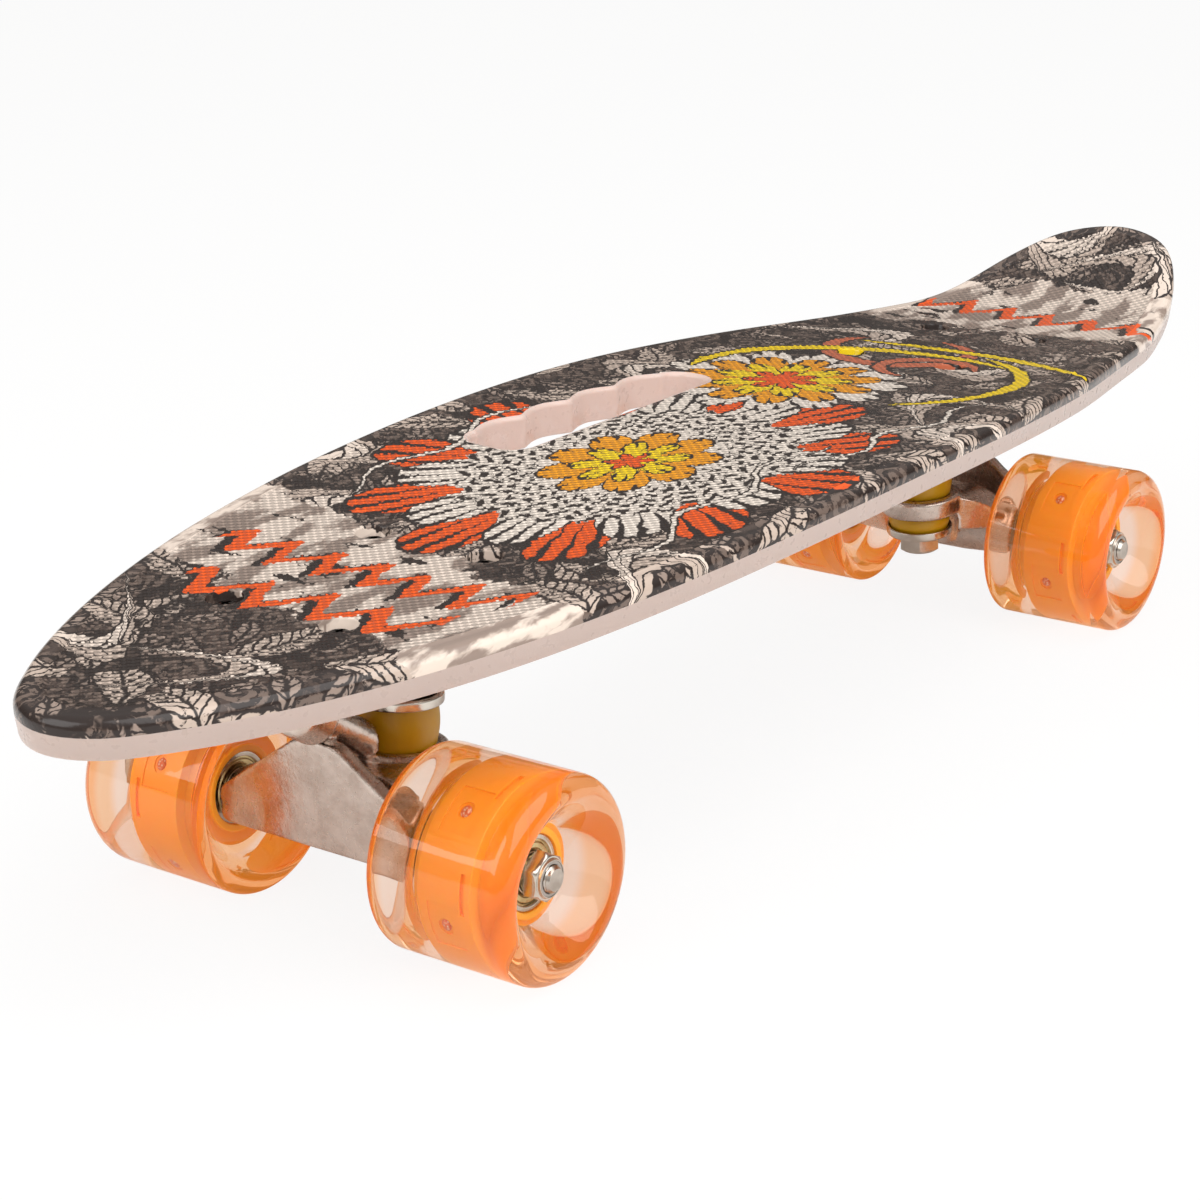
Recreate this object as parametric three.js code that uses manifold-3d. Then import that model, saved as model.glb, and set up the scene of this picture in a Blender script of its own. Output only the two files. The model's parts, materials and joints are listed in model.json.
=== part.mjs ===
// Cruiser skateboard: a moulded plastic deck with a carry handle, two sprung trucks, four clear wheels.
// Millimetres. +X points to the nose, +Y to the board's left, +Z up, and the ground is z = 0.
import * as THREE from 'three';
import { mergeVertices } from 'three/addons/utils/BufferGeometryUtils.js';
import Module from 'manifold-3d';

const wasm = await Module();
wasm.setup();

// Deck
const deckLength = 609;
const deckHalfWidth = 85;
const deckMidHeight = 105;
const deckEdgeDepth = 11.5;
const deckSkin = 4;
const skirtThickness = 4.5;
const skirtDraft = 0.8;
const rimRoll = 3.5;
const concaveDepth = 3;
const crownX = 12;
const noseDrop = 6.7;
const tailDrop = 9;
const tailDropReach = 262;
const kickStartX = -217;
const kickRadius = 137;
const kickAngle = THREE.MathUtils.degToRad(21.5);

// Deck plan, from nose tip to tail tip: share of the half length, share of the half width
const outlineShares = [
  [1, 0], [0.985, 0.165], [0.925, 0.345], [0.81, 0.568], [0.649, 0.771], [0.455, 0.911],
  [0.235, 0.985], [0.04, 1], [-0.156, 0.973], [-0.383, 0.871], [-0.586, 0.719], [-0.76, 0.588],
  [-0.892, 0.452], [-0.974, 0.256], [-1, 0],
];
const outlineSteps = 26;
const acrossSteps = 4;
const hollowSteps = 16;
const hollowAcrossSteps = 3;
const rollSteps = 2;

// Carry handle
const handleMidX = 10;
const handleLength = 115;
const handleInnerY = -32;
const handleOuterY = -52.5;
const handleTaper = 6;
const handleCorner = 8;
const handleCollar = 3.5;
const scallopDepth = 4;
const scallopCount = 4;
const scallopSteps = 4;
const cornerSteps = 3;

// Ribs and truck pads under the deck
const ribThickness = 2.2;
const ribEdgeGap = 2;
const ribSpacingAlong = 64;
const ribSpacingAcross = 44;
const padLength = 90;
const padWidth = 62;
const padCorner = 8;
const padReach = 19;
const padBottom = deckMidHeight - padReach;

// Wheels and bearings
const wheelRadius = 30;
const wheelWidth = 47;
const wheelTrack = 107.2;
const tyreOffset = 1.25;
const wheelSides = 20;
const outboardCrestRadius = 24.4;
const outboardCornerDepth = 5.2;
const inboardCrestRadius = 28.4;
const inboardCornerDepth = 1.6;
const coreRadius = 19;
const coreHalfWidth = 12;
const coreBandHalf = 9;
const hubRadius = 13.2;
const bowlFloor = 0.6;
const bondGap = 0.1;
const bearingOuterRadius = 11;
const bearingWidth = 7;
const bearingRimRadius = 9.6;
const bearingShieldRadius = 6.6;
const bearingInnerRadius = 6.2;
const shieldDepth = 0.4;
const bearingFit = 0.15;
const ringSides = 10;
const bearingSides = 10;
const ledRadius = 2.4;
const ledDepth = 2.2;
const ledCount = 4;
const ledSides = 6;

// The tyre's bowl from hub to crest: share of the way out, share of the rise
const bowlShares = [[0, 0], [0.55, 0.58], [1, 1]];

// Trucks, measured from the point on the ground below the axle, +X to the board's end
const wheelbaseShare = 0.578;
const wheelbase = deckLength * wheelbaseShare;
const wheelbaseMidShare = 0.0255;
const wheelbaseMidX = deckLength * wheelbaseMidShare;
const axleRadius = 4;
const axleHalfLength = 74;
const axleChamfer = 1;
const axleFit = 0.3;
const spacerRadius = 5.4;
const speedWasher = 0.8;
const speedWasherRadius = 5.8;
const kingpinSetback = 22.5;
const ringHeightShare = 0.5;
const ringHeight = padBottom * ringHeightShare;
const kingpinLean = THREE.MathUtils.degToRad(4);
const pivotAngle = THREE.MathUtils.degToRad(33);
const pivotReach = 45;
const seatGap = 0.3;

const ringRadius = 15.5;
const ringThickness = 7.5;
const ringBore = 7.6;
const seatDepth = 1;
const seatRadius = 12.8;
const armMidRadius = 10.3;
const armEndRadius = 8.4;
const armMidHalf = 10;
const armTipRadius = 7;
const armTipLength = 4;
const webThickness = 4.8;
const webHalfWidth = 37;
const webTopHalfWidth = 6.5;
const webShoulderRise = 5;
const webShoulderHeight = wheelRadius + webShoulderRise;
const webTopRise = 16.5;
const webTopHeight = ringHeight + webTopRise;
const webFootDrop = 5;
const webFoot = wheelRadius - webFootDrop;
const webLean = THREE.MathUtils.degToRad(5.5);
const webRim = 3.5;
const webSlopeShare = 1.4;
const webPocket = 2;
const neckRadius = 5.8;
const neckTaperShare = 0.55;
const stemRoundShare = 0.6;
const stemRadius = 4.5;
const stemTip = 3.6;
const gussetHalfWidth = 33;
const gussetEdgeShare = 0.7;
const gussetRise = 3;
const gussetBottom = wheelRadius + gussetRise;
const reliefRadius = 15.2;

const kingpinRadius = 4.9;
const kingpinFit = 0.35;
const headFlats = 14;
const headHeight = 6.5;
const nutHeight = 7.5;
const nutRecess = 1.5;
const boardBushingHeight = 14.2;
const boardBushingRadius = 12.4;
const roadBushingHeight = 7.5;
const roadBushingRadius = 11.4;
const bushingEndInset = 0.7;
const cupPlate = 2;
const cupLip = 1.3;
const cupWall = 1.2;
const boardCupRadius = 13.6;
const roadCupRadius = 12.3;

const plateLength = 81;
const plateWidth = 55;
const plateThickness = 5;
const plateCorner = 7;
const plateShiftX = -8;
const bossRadius = 12.3;
const bossRootRadius = 15.5;
const housingRadius = 9.5;
const housingFront = 6.5;
const housingBack = 6.5;
const housingDome = 3.5;
const domeShare = 0.6;
const blockWidthShare = 0.9;
const cupOuterRadius = 6.4;
const cupBottom = 1.3;
const plateRib = 5;

// Mounting screws
const holeLength = 63.5;
const holeWidth = 41.3;
const screwRadius = 2.4;
const screwFit = 0.4;
const screwHeadRadius = 4.4;
const screwHeadHeight = 2.6;
const screwNutFlats = 8;
const screwNutHeight = 4.5;
const screwTail = 2;
const screwCrownShare = 0.7;
const screwSides = 6;
const recessRadius = 5.3;
const recessDepth = 4.6;
const recessSides = 8;

const overrun = 5;
const hexSides = 6;
const weldDistance = 1e-4;

// Axle nuts
const axleNutFlats = 13;
const axleNutHeight = 5;
const axleNutCollar = 0.9;

// Materials, one to a finish
const finishes = {
  deck: new THREE.MeshStandardMaterial({ color: '#cdb6ac', roughness: 0.5, metalness: 0 }),
  casting: new THREE.MeshStandardMaterial({ color: '#ac8c7d', roughness: 0.38, metalness: 1 }),
  zinc: new THREE.MeshStandardMaterial({ color: '#b9b4ac', roughness: 0.28, metalness: 1 }),
  screw: new THREE.MeshStandardMaterial({ color: '#3a3634', roughness: 0.4, metalness: 1 }),
  bushing: new THREE.MeshStandardMaterial({ color: '#aa7814', roughness: 0.45, metalness: 0 }),
  pivotCup: new THREE.MeshStandardMaterial({ color: '#2c2a29', roughness: 0.6, metalness: 0 }),
  tyre: new THREE.MeshStandardMaterial({ color: '#f4dccb', roughness: 0.12, metalness: 0 }),
  core: new THREE.MeshStandardMaterial({ color: '#f79738', roughness: 0.35, metalness: 0 }),
  bearing: new THREE.MeshStandardMaterial({ color: '#a79a78', roughness: 0.25, metalness: 1 }),
};

// Solid modelling helpers
function solid(geometry) {
  const bare = geometry.index ? geometry.toNonIndexed() : geometry.clone();
  bare.deleteAttribute('normal');
  bare.deleteAttribute('uv');
  const merged = mergeVertices(bare, weldDistance);
  const source = merged.index.array;
  const triangles = [];
  for (let corner = 0; corner < source.length; corner += 3) {
    const [a, b, c] = source.slice(corner, corner + 3);
    if (a !== b && b !== c && c !== a) {
      triangles.push(a, b, c);
    }
  }
  const mesh = new wasm.Mesh({
    numProp: 3,
    vertProperties: new Float32Array(merged.attributes.position.array),
    triVerts: new Uint32Array(triangles),
  });
  return new wasm.Manifold(mesh);
}

function geometryOf(manifold) {
  const mesh = manifold.getMesh();
  const geometry = new THREE.BufferGeometry();
  geometry.setAttribute('position', new THREE.BufferAttribute(mesh.vertProperties, 3));
  geometry.setIndex(new THREE.BufferAttribute(mesh.triVerts, 1));
  geometry.computeVertexNormals();
  return geometry;
}

function joined(...parts) {
  return parts.reduce((whole, part) => whole.add(part));
}

function cut(whole, ...tools) {
  return tools.reduce((rest, tool) => rest.subtract(tool), whole);
}

// A turned solid on the Z axis from [radius, height] corners; flat-sided when sides is small
function turned(corners, sides) {
  const points = corners.map(([radius, height]) => new THREE.Vector2(radius, height));
  const geometry = new THREE.LatheGeometry(points, sides);
  geometry.rotateX(Math.PI / 2);
  geometry.rotateZ(Math.PI / sides);
  return geometry;
}

function cylinder(radius, bottom, top, sides) {
  return turned([[0, bottom], [radius, bottom], [radius, top], [0, top]], sides);
}

function ringBetween(innerRadius, outerRadius, bottom, top, sides) {
  const corners = [
    [innerRadius, bottom], [outerRadius, bottom], [outerRadius, top], [innerRadius, top],
    [innerRadius, bottom],
  ];
  return turned(corners, sides);
}

function hexPrism(flats, bottom, top) {
  return cylinder(flats / 2 / Math.cos(Math.PI / hexSides), bottom, top, hexSides);
}

function extruded(shape, bottom, top) {
  const geometry = new THREE.ExtrudeGeometry(shape, { depth: top - bottom, bevelEnabled: false });
  geometry.translate(0, 0, bottom);
  return geometry;
}

function roundedRectangle(length, width, corner) {
  const shape = new THREE.Shape();
  const x = length / 2 - corner;
  const y = width / 2 - corner;
  shape.absarc(x, y, corner, 0, Math.PI / 2);
  shape.absarc(-x, y, corner, Math.PI / 2, Math.PI);
  shape.absarc(-x, -y, corner, Math.PI, Math.PI * 1.5);
  shape.absarc(x, -y, corner, Math.PI * 1.5, Math.PI * 2);
  return new THREE.Shape(shape.getPoints(cornerSteps));
}

function named(name, geometry, material) {
  const mesh = new THREE.Mesh(geometry, material);
  mesh.name = name;
  return mesh;
}

// Deck surface
function cosineFall(distance, reach) {
  return (1 - Math.cos(Math.PI * Math.min(1, distance / reach))) / 2;
}

function kickRise(x) {
  const run = Math.max(0, kickStartX - x);
  const arcRun = kickRadius * Math.sin(kickAngle);
  if (run < arcRun) {
    return kickRadius - Math.sqrt(kickRadius ** 2 - run ** 2);
  }
  return kickRadius * (1 - Math.cos(kickAngle)) + (run - arcRun) * Math.tan(kickAngle);
}

function spineHeight(x) {
  if (x > crownX) {
    return deckMidHeight - noseDrop * cosineFall(x - crownX, deckLength / 2 - crownX);
  }
  return deckMidHeight - tailDrop * cosineFall(crownX - x, tailDropReach) + kickRise(x);
}

function topHeight(x, y) {
  return spineHeight(x) + concaveDepth * (y / deckHalfWidth) ** 2;
}

// Plan curve, closed and mirrored about the board's centre line
const leftSide = outlineShares.map(
  ([along, across]) => new THREE.Vector3(along * deckLength / 2, across * deckHalfWidth, 0),
);
const rightSide = leftSide.slice(1, -1).reverse().map((point) => new THREE.Vector3(point.x, -point.y, 0));
const planCurve = new THREE.CatmullRomCurve3([...leftSide, ...rightSide], true, 'centripetal');

// Stations from nose to tail on the left side, closer together at both tips, drawn in by an inset
function sidePoints(inset, steps) {
  const points = [];
  for (let step = 0; step <= steps; step += 1) {
    const share = (1 - Math.cos(Math.PI * step / steps)) / 4;
    const point = planCurve.getPointAt(share);
    const along = planCurve.getTangentAt(share);
    const atTip = step === 0 || step === steps;
    const y = atTip ? 0 : point.y + along.x * inset;
    points.push(new THREE.Vector2(point.x - along.y * inset, y));
  }
  return points;
}

// A closed board-shaped solid from rings of [inset, height function], the top ring first
function boardSolid(rings, steps, strips) {
  const positions = [];
  const at = (point, acrossShare, height) => {
    const y = point.y * acrossShare;
    return [point.x, y, height(point.x, point.y * Math.abs(acrossShare))];
  };
  const quad = (a, b, c, d) => {
    positions.push(...a, ...b, ...c, ...a, ...c, ...d);
  };
  const layers = rings.map(([inset, height]) => ({ side: sidePoints(inset, steps), height }));
  const cap = ({ side, height }, faceUp) => {
    for (let step = 0; step < steps; step += 1) {
      for (let strip = 0; strip < strips; strip += 1) {
        const near = 1 - 2 * strip / strips;
        const far = 1 - 2 * (strip + 1) / strips;
        const corners = [
          at(side[step], near, height), at(side[step + 1], near, height),
          at(side[step + 1], far, height), at(side[step], far, height),
        ];
        quad(...(faceUp ? corners : corners.reverse()));
      }
    }
  };
  cap(layers[0], true);
  cap(layers[layers.length - 1], false);
  for (let level = 0; level + 1 < layers.length; level += 1) {
    const upper = layers[level];
    const lower = layers[level + 1];
    for (let step = 0; step < steps; step += 1) {
      for (const hand of [1, -1]) {
        const corners = [
          at(upper.side[step], hand, upper.height), at(lower.side[step], hand, lower.height),
          at(lower.side[step + 1], hand, lower.height), at(upper.side[step + 1], hand, upper.height),
        ];
        quad(...(hand > 0 ? corners : corners.reverse()));
      }
    }
  }
  const geometry = new THREE.BufferGeometry();
  geometry.setAttribute('position', new THREE.Float32BufferAttribute(positions, 3));
  return solid(geometry);
}

function deckShell() {
  const rings = [];
  for (let step = 0; step <= rollSteps; step += 1) {
    const angle = Math.PI / 2 * step / rollSteps;
    const drop = rimRoll * (1 - Math.cos(angle));
    rings.push([rimRoll * (1 - Math.sin(angle)), (x, y) => topHeight(x, y) - drop]);
  }
  rings.push([skirtDraft, (x, y) => topHeight(x, y) - deckEdgeDepth]);
  return boardSolid(rings, outlineSteps, acrossSteps);
}

// The space under the skin and inside the skirt
function deckHollow() {
  return boardSolid([
    [skirtThickness + skirtDraft, (x, y) => topHeight(x, y) - deckSkin],
    [skirtThickness, (x, y) => topHeight(x, y) - deckEdgeDepth - overrun],
  ], hollowSteps, hollowAcrossSteps);
}

// The same space grown half way into skin and skirt, down to a depth, for what is moulded into it
function deckFill(depth) {
  const inset = skirtDraft + skirtThickness / 2;
  return boardSolid([
    [inset, (x, y) => topHeight(x, y) - deckSkin / 2],
    [inset, (x, y) => topHeight(x, y) - depth],
  ], hollowSteps, hollowAcrossSteps);
}

// Plan of the handle cut-out, grown evenly for its collar, with finger scallops on the outer side
function handleShape(grow) {
  const left = handleMidX - handleLength / 2 - grow;
  const right = handleMidX + handleLength / 2 + grow;
  const inner = handleInnerY + grow;
  const outerAt = (x) => handleOuterY - grow - handleTaper * (x - handleMidX) / handleLength;
  const radius = handleCorner + grow;
  const points = [];
  const corner = (x, y, from) => {
    for (let step = 0; step <= cornerSteps; step += 1) {
      const angle = from + Math.PI / 2 * step / cornerSteps;
      points.push(new THREE.Vector2(x + radius * Math.cos(angle), y + radius * Math.sin(angle)));
    }
  };
  corner(right - radius, inner - radius, 0);
  corner(left + radius, inner - radius, Math.PI / 2);
  corner(left + radius, outerAt(left) + radius, Math.PI);
  const run = right - left - 2 * radius;
  const waves = scallopCount * scallopSteps;
  for (let step = 1; step < waves; step += 1) {
    const bow = Math.abs(Math.sin(Math.PI * step / scallopSteps));
    const x = left + radius + run * step / waves;
    points.push(new THREE.Vector2(x, outerAt(x) - scallopDepth * bow));
  }
  corner(right - radius, outerAt(right) + radius, Math.PI * 1.5);
  return new THREE.Shape(points);
}

// Truck places along the board: the axle's x and which way the truck faces
const trucks = [
  { prefix: 'front', axleX: wheelbaseMidX + wheelbase / 2, facing: 1 },
  { prefix: 'rear', axleX: wheelbaseMidX - wheelbase / 2, facing: -1 },
];

function holePlaces() {
  const places = [];
  for (const along of [1, -1]) {
    for (const across of [1, -1]) {
      places.push([plateShiftX + along * holeLength / 2, across * holeWidth / 2]);
    }
  }
  return places;
}

function deckGeometry() {
  const lowest = deckMidHeight - deckEdgeDepth - tailDrop - overrun;
  const highest = deckMidHeight + deckEdgeDepth + overrun;
  const tall = 2 * deckMidHeight;
  const ribs = [];
  for (let y = 0; y < deckHalfWidth; y += ribSpacingAcross) {
    for (const hand of y > 0 ? [1, -1] : [1]) {
      const rib = new THREE.BoxGeometry(deckLength, ribThickness, tall);
      rib.translate(0, hand * y, deckMidHeight);
      ribs.push(solid(rib));
    }
  }
  for (let x = -deckLength / 2 + ribSpacingAlong; x < deckLength / 2; x += ribSpacingAlong) {
    const rib = new THREE.BoxGeometry(ribThickness, 2 * deckHalfWidth, tall);
    rib.translate(x, 0, deckMidHeight);
    ribs.push(solid(rib));
  }
  const collar = solid(extruded(handleShape(handleCollar), lowest, highest));
  const pads = trucks.map(({ axleX, facing }) => {
    const pad = extruded(roundedRectangle(padLength, padWidth, padCorner), padBottom, highest);
    pad.translate(axleX + facing * plateShiftX, 0, 0);
    return solid(pad);
  });
  const ribFill = joined(...ribs).intersect(deckFill(deckEdgeDepth - ribEdgeGap));
  const collarFill = collar.intersect(deckFill(deckEdgeDepth));
  const padFill = joined(...pads).intersect(deckFill(deckMidHeight - padBottom + overrun));
  let deck = joined(cut(deckShell(), deckHollow()), ribFill, collarFill, padFill);
  deck = cut(deck, solid(extruded(handleShape(0), lowest, highest)));
  for (const { axleX, facing } of trucks) {
    for (const [along, across] of holePlaces()) {
      const x = axleX + facing * along;
      const floor = topHeight(x, across) - recessDepth;
      const recess = cylinder(recessRadius, floor, highest, recessSides);
      const hole = cylinder(screwRadius + screwFit, lowest - overrun, highest, recessSides);
      deck = cut(deck, solid(recess.translate(x, across, 0)), solid(hole.translate(x, across, 0)));
    }
  }
  return geometryOf(deck);
}

// Wheels, turned about the Y axis, with the outboard side at +Y
function aboutAxle(geometry) {
  return geometry.rotateX(-Math.PI / 2);
}

// One side of the tyre's section, from its lining over hub, bowl and crest to the tread
function tyreSide(face, crestRadius, cornerDepth) {
  const treadRadius = wheelRadius / Math.cos(Math.PI / wheelSides);
  const inside = hubRadius + bondGap;
  const floor = coreHalfWidth + bowlFloor;
  const bowl = bowlShares.map(([out, rise]) => [
    THREE.MathUtils.lerp(inside, crestRadius, out), THREE.MathUtils.lerp(floor, face, rise),
  ]);
  return [
    [coreRadius + bondGap, coreBandHalf + bondGap],
    [inside, coreBandHalf + bondGap],
    ...bowl,
    [THREE.MathUtils.lerp(crestRadius, treadRadius, Math.SQRT1_2), face - cornerDepth * (1 - Math.SQRT1_2)],
    [treadRadius, face - cornerDepth],
  ];
}

function tyreGeometry() {
  const outboard = tyreSide(wheelWidth / 2 + tyreOffset, outboardCrestRadius, outboardCornerDepth);
  const inboard = tyreSide(wheelWidth / 2 - tyreOffset, inboardCrestRadius, inboardCornerDepth);
  const corners = [...inboard.map(([radius, height]) => [radius, -height]), ...outboard.reverse()];
  return aboutAxle(turned([...corners, corners[0]], wheelSides));
}

function coreGeometry() {
  const seat = bearingOuterRadius + bearingFit;
  const shoulder = coreHalfWidth - bearingWidth;
  const corners = [
    [bearingRimRadius, -shoulder], [seat, -shoulder], [seat, -coreHalfWidth], [hubRadius, -coreHalfWidth],
    [hubRadius, -coreBandHalf], [coreRadius, -coreBandHalf], [coreRadius, coreBandHalf],
    [hubRadius, coreBandHalf], [hubRadius, coreHalfWidth], [seat, coreHalfWidth], [seat, shoulder],
    [bearingRimRadius, shoulder], [bearingRimRadius, -shoulder],
  ];
  let core = solid(aboutAxle(turned(corners, wheelSides)));
  for (let index = 0; index < ledCount; index += 1) {
    const angle = 2 * Math.PI * (index + 0.5) / ledCount;
    const socket = cylinder(ledRadius, coreRadius - ledDepth, coreRadius + overrun, ledSides);
    core = cut(core, solid(socket.rotateY(angle)));
  }
  return geometryOf(core);
}

function outerRingGeometry() {
  const half = bearingWidth / 2;
  const shield = half - shieldDepth;
  const corners = [
    [bearingShieldRadius, -shield], [bearingOuterRadius, -half], [bearingOuterRadius, half],
    [bearingRimRadius, half], [bearingRimRadius, shield], [bearingShieldRadius, shield],
    [bearingShieldRadius, -shield],
  ];
  return aboutAxle(turned(corners, bearingSides));
}

function innerRingGeometry() {
  const half = bearingWidth / 2;
  return aboutAxle(ringBetween(axleRadius + axleFit, bearingInnerRadius, -half, half, bearingSides));
}

function wheelPieces(place) {
  const wheel = new THREE.Group();
  wheel.add(named(`${place}_tyre`, tyreGeometry(), finishes.tyre));
  wheel.add(named(`${place}_wheel_core`, coreGeometry(), finishes.core));
  const bearingY = coreHalfWidth - bearingWidth / 2;
  for (const [side, hand] of [['outboard', 1], ['inboard', -1]]) {
    const outerRing = outerRingGeometry();
    if (hand < 0) {
      outerRing.rotateZ(Math.PI);
    }
    const outer = named(`${place}_${side}_bearing_outer_ring`, outerRing, finishes.bearing);
    const inner = named(`${place}_${side}_bearing_inner_ring`, innerRingGeometry(), finishes.bearing);
    outer.position.y = hand * bearingY;
    inner.position.y = hand * bearingY;
    wheel.add(outer, inner);
  }
  wheel.add(named(`${place}_axle_nut`, axleNutGeometry(), finishes.zinc));
  return wheel;
}

// Lock nut with its speed washer, in the wheel's own place
function axleNutGeometry() {
  const washerFoot = coreHalfWidth + seatGap;
  const hexFoot = washerFoot + speedWasher;
  const hexTop = hexFoot + axleNutHeight;
  const washer = cylinder(speedWasherRadius, washerFoot, hexFoot + seatGap, ringSides);
  const collar = cylinder(speedWasherRadius, hexTop - seatGap, hexTop + axleNutCollar, ringSides);
  const bore = cylinder(axleRadius + axleFit, washerFoot - overrun, hexTop + overrun, ringSides);
  const nut = joined(solid(washer), solid(hexPrism(axleNutFlats, hexFoot, hexTop)), solid(collar));
  return aboutAxle(geometryOf(cut(nut, solid(bore))));
}

// Axle rod with the spacer sleeve of each wheel
function axleGeometry() {
  const middle = wheelTrack / 2;
  const sleeve = coreHalfWidth - bearingWidth - seatGap;
  const half = [
    [spacerRadius, middle - sleeve], [spacerRadius, middle + sleeve], [axleRadius, middle + sleeve],
    [axleRadius, axleHalfLength - axleChamfer], [axleRadius - axleChamfer, axleHalfLength],
    [0, axleHalfLength],
  ];
  const other = half.map(([radius, height]) => [radius, -height]).reverse();
  const root = [[axleRadius, -middle + sleeve], [axleRadius, middle - sleeve]];
  return aboutAxle(turned([...other, ...root, ...half], ringSides));
}

// Kingpin axis: local Z through the middle of the hanger's ring
function onKingpin(geometry) {
  return geometry.rotateY(-kingpinLean).translate(-kingpinSetback, 0, ringHeight);
}

// Steering axis: local Z through the pivot, pointing up and towards the board's end
const pivotX = -kingpinSetback + pivotReach * Math.cos(pivotAngle);
const pivotHeight = ringHeight + pivotReach * Math.sin(pivotAngle);

function onPivot(geometry) {
  return geometry.rotateY(Math.PI / 2 - pivotAngle).translate(pivotX, 0, pivotHeight);
}

// Heights along the kingpin axis, from the middle of the ring
const seatFloor = ringThickness / 2 - seatDepth;
const boardBushingFoot = seatFloor + seatGap;
const boardBushingTop = boardBushingFoot + boardBushingHeight;
const topCupFoot = boardBushingTop + seatGap;
const topCupTop = topCupFoot + cupPlate;
const roadBushingTop = -seatFloor - seatGap;
const roadBushingFoot = roadBushingTop - roadBushingHeight;
const lowCupTop = roadBushingFoot - seatGap;
const lowCupFoot = lowCupTop - cupPlate;
const headTop = lowCupFoot - seatGap;
const bossFoot = topCupTop + seatGap;
const plateFoot = padBottom - seatGap - plateThickness;
const plateTop = padBottom - seatGap;
const nutTop = (plateTop - ringHeight) / Math.cos(kingpinLean) - nutRecess;
const nutFoot = nutTop - nutHeight;

function armGeometry() {
  const face = wheelTrack / 2 - coreHalfWidth - seatGap;
  const tip = face - speedWasher;
  const corners = [
    [0, 0], [armMidRadius, 0], [armMidRadius, armMidHalf], [armEndRadius, tip - armTipLength],
    [armTipRadius, tip], [speedWasherRadius, tip], [speedWasherRadius, face], [0, face],
  ];
  return turned(corners, ringSides);
}

// Triangular web on the pivot side, with a raised rim round a pocket in its inboard face
function webSolid() {
  const outline = (inset, foot) => {
    const slope = inset * webSlopeShare;
    return new THREE.Shape([
      new THREE.Vector2(-webHalfWidth + slope, foot),
      new THREE.Vector2(webHalfWidth - slope, foot),
      new THREE.Vector2(webHalfWidth - slope, webShoulderHeight - inset),
      new THREE.Vector2(webTopHalfWidth, webTopHeight - inset),
      new THREE.Vector2(-webTopHalfWidth, webTopHeight - inset),
      new THREE.Vector2(-webHalfWidth + slope, webShoulderHeight - inset),
    ]);
  };
  const stand = (geometry) => geometry.rotateX(Math.PI / 2).rotateZ(Math.PI / 2);
  const inner = armMidRadius - webThickness;
  const plate = stand(extruded(outline(0, webFoot), inner, armMidRadius));
  const pocket = stand(extruded(outline(webRim, wheelRadius), inner - overrun, armMidRadius - webPocket));
  const lean = (geometry) => {
    geometry.translate(0, 0, -wheelRadius);
    geometry.rotateY(webLean);
    return geometry.translate(0, 0, wheelRadius);
  };
  return [solid(lean(plate)), solid(lean(pocket))];
}

// Curved gussets that carry the ring out to both arms
function gussetShape() {
  const shape = new THREE.Shape();
  shape.moveTo(-kingpinSetback, -ringRadius);
  shape.quadraticCurveTo(-armMidRadius, -ringRadius, -armMidRadius * gussetEdgeShare, -gussetHalfWidth);
  shape.lineTo(0, -gussetHalfWidth);
  shape.lineTo(0, gussetHalfWidth);
  shape.lineTo(-armMidRadius * gussetEdgeShare, gussetHalfWidth);
  shape.quadraticCurveTo(-armMidRadius, ringRadius, -kingpinSetback, ringRadius);
  return new THREE.Shape(shape.getPoints(cornerSteps));
}

function hangerGeometry() {
  const leftArm = solid(armGeometry().rotateX(-Math.PI / 2).translate(0, 0, wheelRadius));
  const rightArm = solid(armGeometry().rotateX(Math.PI / 2).translate(0, 0, wheelRadius));
  const [web, webHollow] = webSolid();
  const gusset = solid(extruded(gussetShape(), gussetBottom, ringHeight + seatFloor));
  const ring = cylinder(ringRadius, -ringThickness / 2, ringThickness / 2, wheelSides);
  const neckRun = pivotReach - housingFront;
  const neckCorners = [
    [0, -pivotReach + ringRadius], [neckRadius, -pivotReach + ringRadius],
    [neckRadius, -neckRun * neckTaperShare], [stemRadius, -housingFront - seatGap],
    [stemRadius, stemTip - stemRadius * stemRoundShare], [stemRadius * stemRoundShare, stemTip], [0, stemTip],
  ];
  const neck = solid(onPivot(turned(neckCorners, ringSides)));
  const pocketed = joined(leftArm, rightArm, cut(web, webHollow), gusset, neck);
  const above = cylinder(reliefRadius, ringThickness / 2, bossFoot + overrun, wheelSides);
  const below = cylinder(reliefRadius, headTop - headHeight - overrun, -ringThickness / 2, wheelSides);
  const relieved = cut(pocketed, solid(onKingpin(above)), solid(onKingpin(below)));
  const bore = cylinder(ringBore, -ringThickness / 2 - overrun, ringThickness / 2 + overrun, ringSides);
  const topSeat = cylinder(seatRadius, seatFloor, seatFloor + overrun, ringSides);
  const lowSeat = cylinder(seatRadius, -seatFloor - overrun, -seatFloor, ringSides);
  const axleBore = cylinder(axleRadius + axleFit, -wheelTrack / 2, wheelTrack / 2, ringSides);
  return geometryOf(cut(
    joined(relieved, solid(onKingpin(ring))),
    solid(onKingpin(bore)),
    solid(onKingpin(topSeat)),
    solid(onKingpin(lowSeat)),
    solid(aboutAxle(axleBore).translate(0, 0, wheelRadius)),
  ));
}

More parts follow.
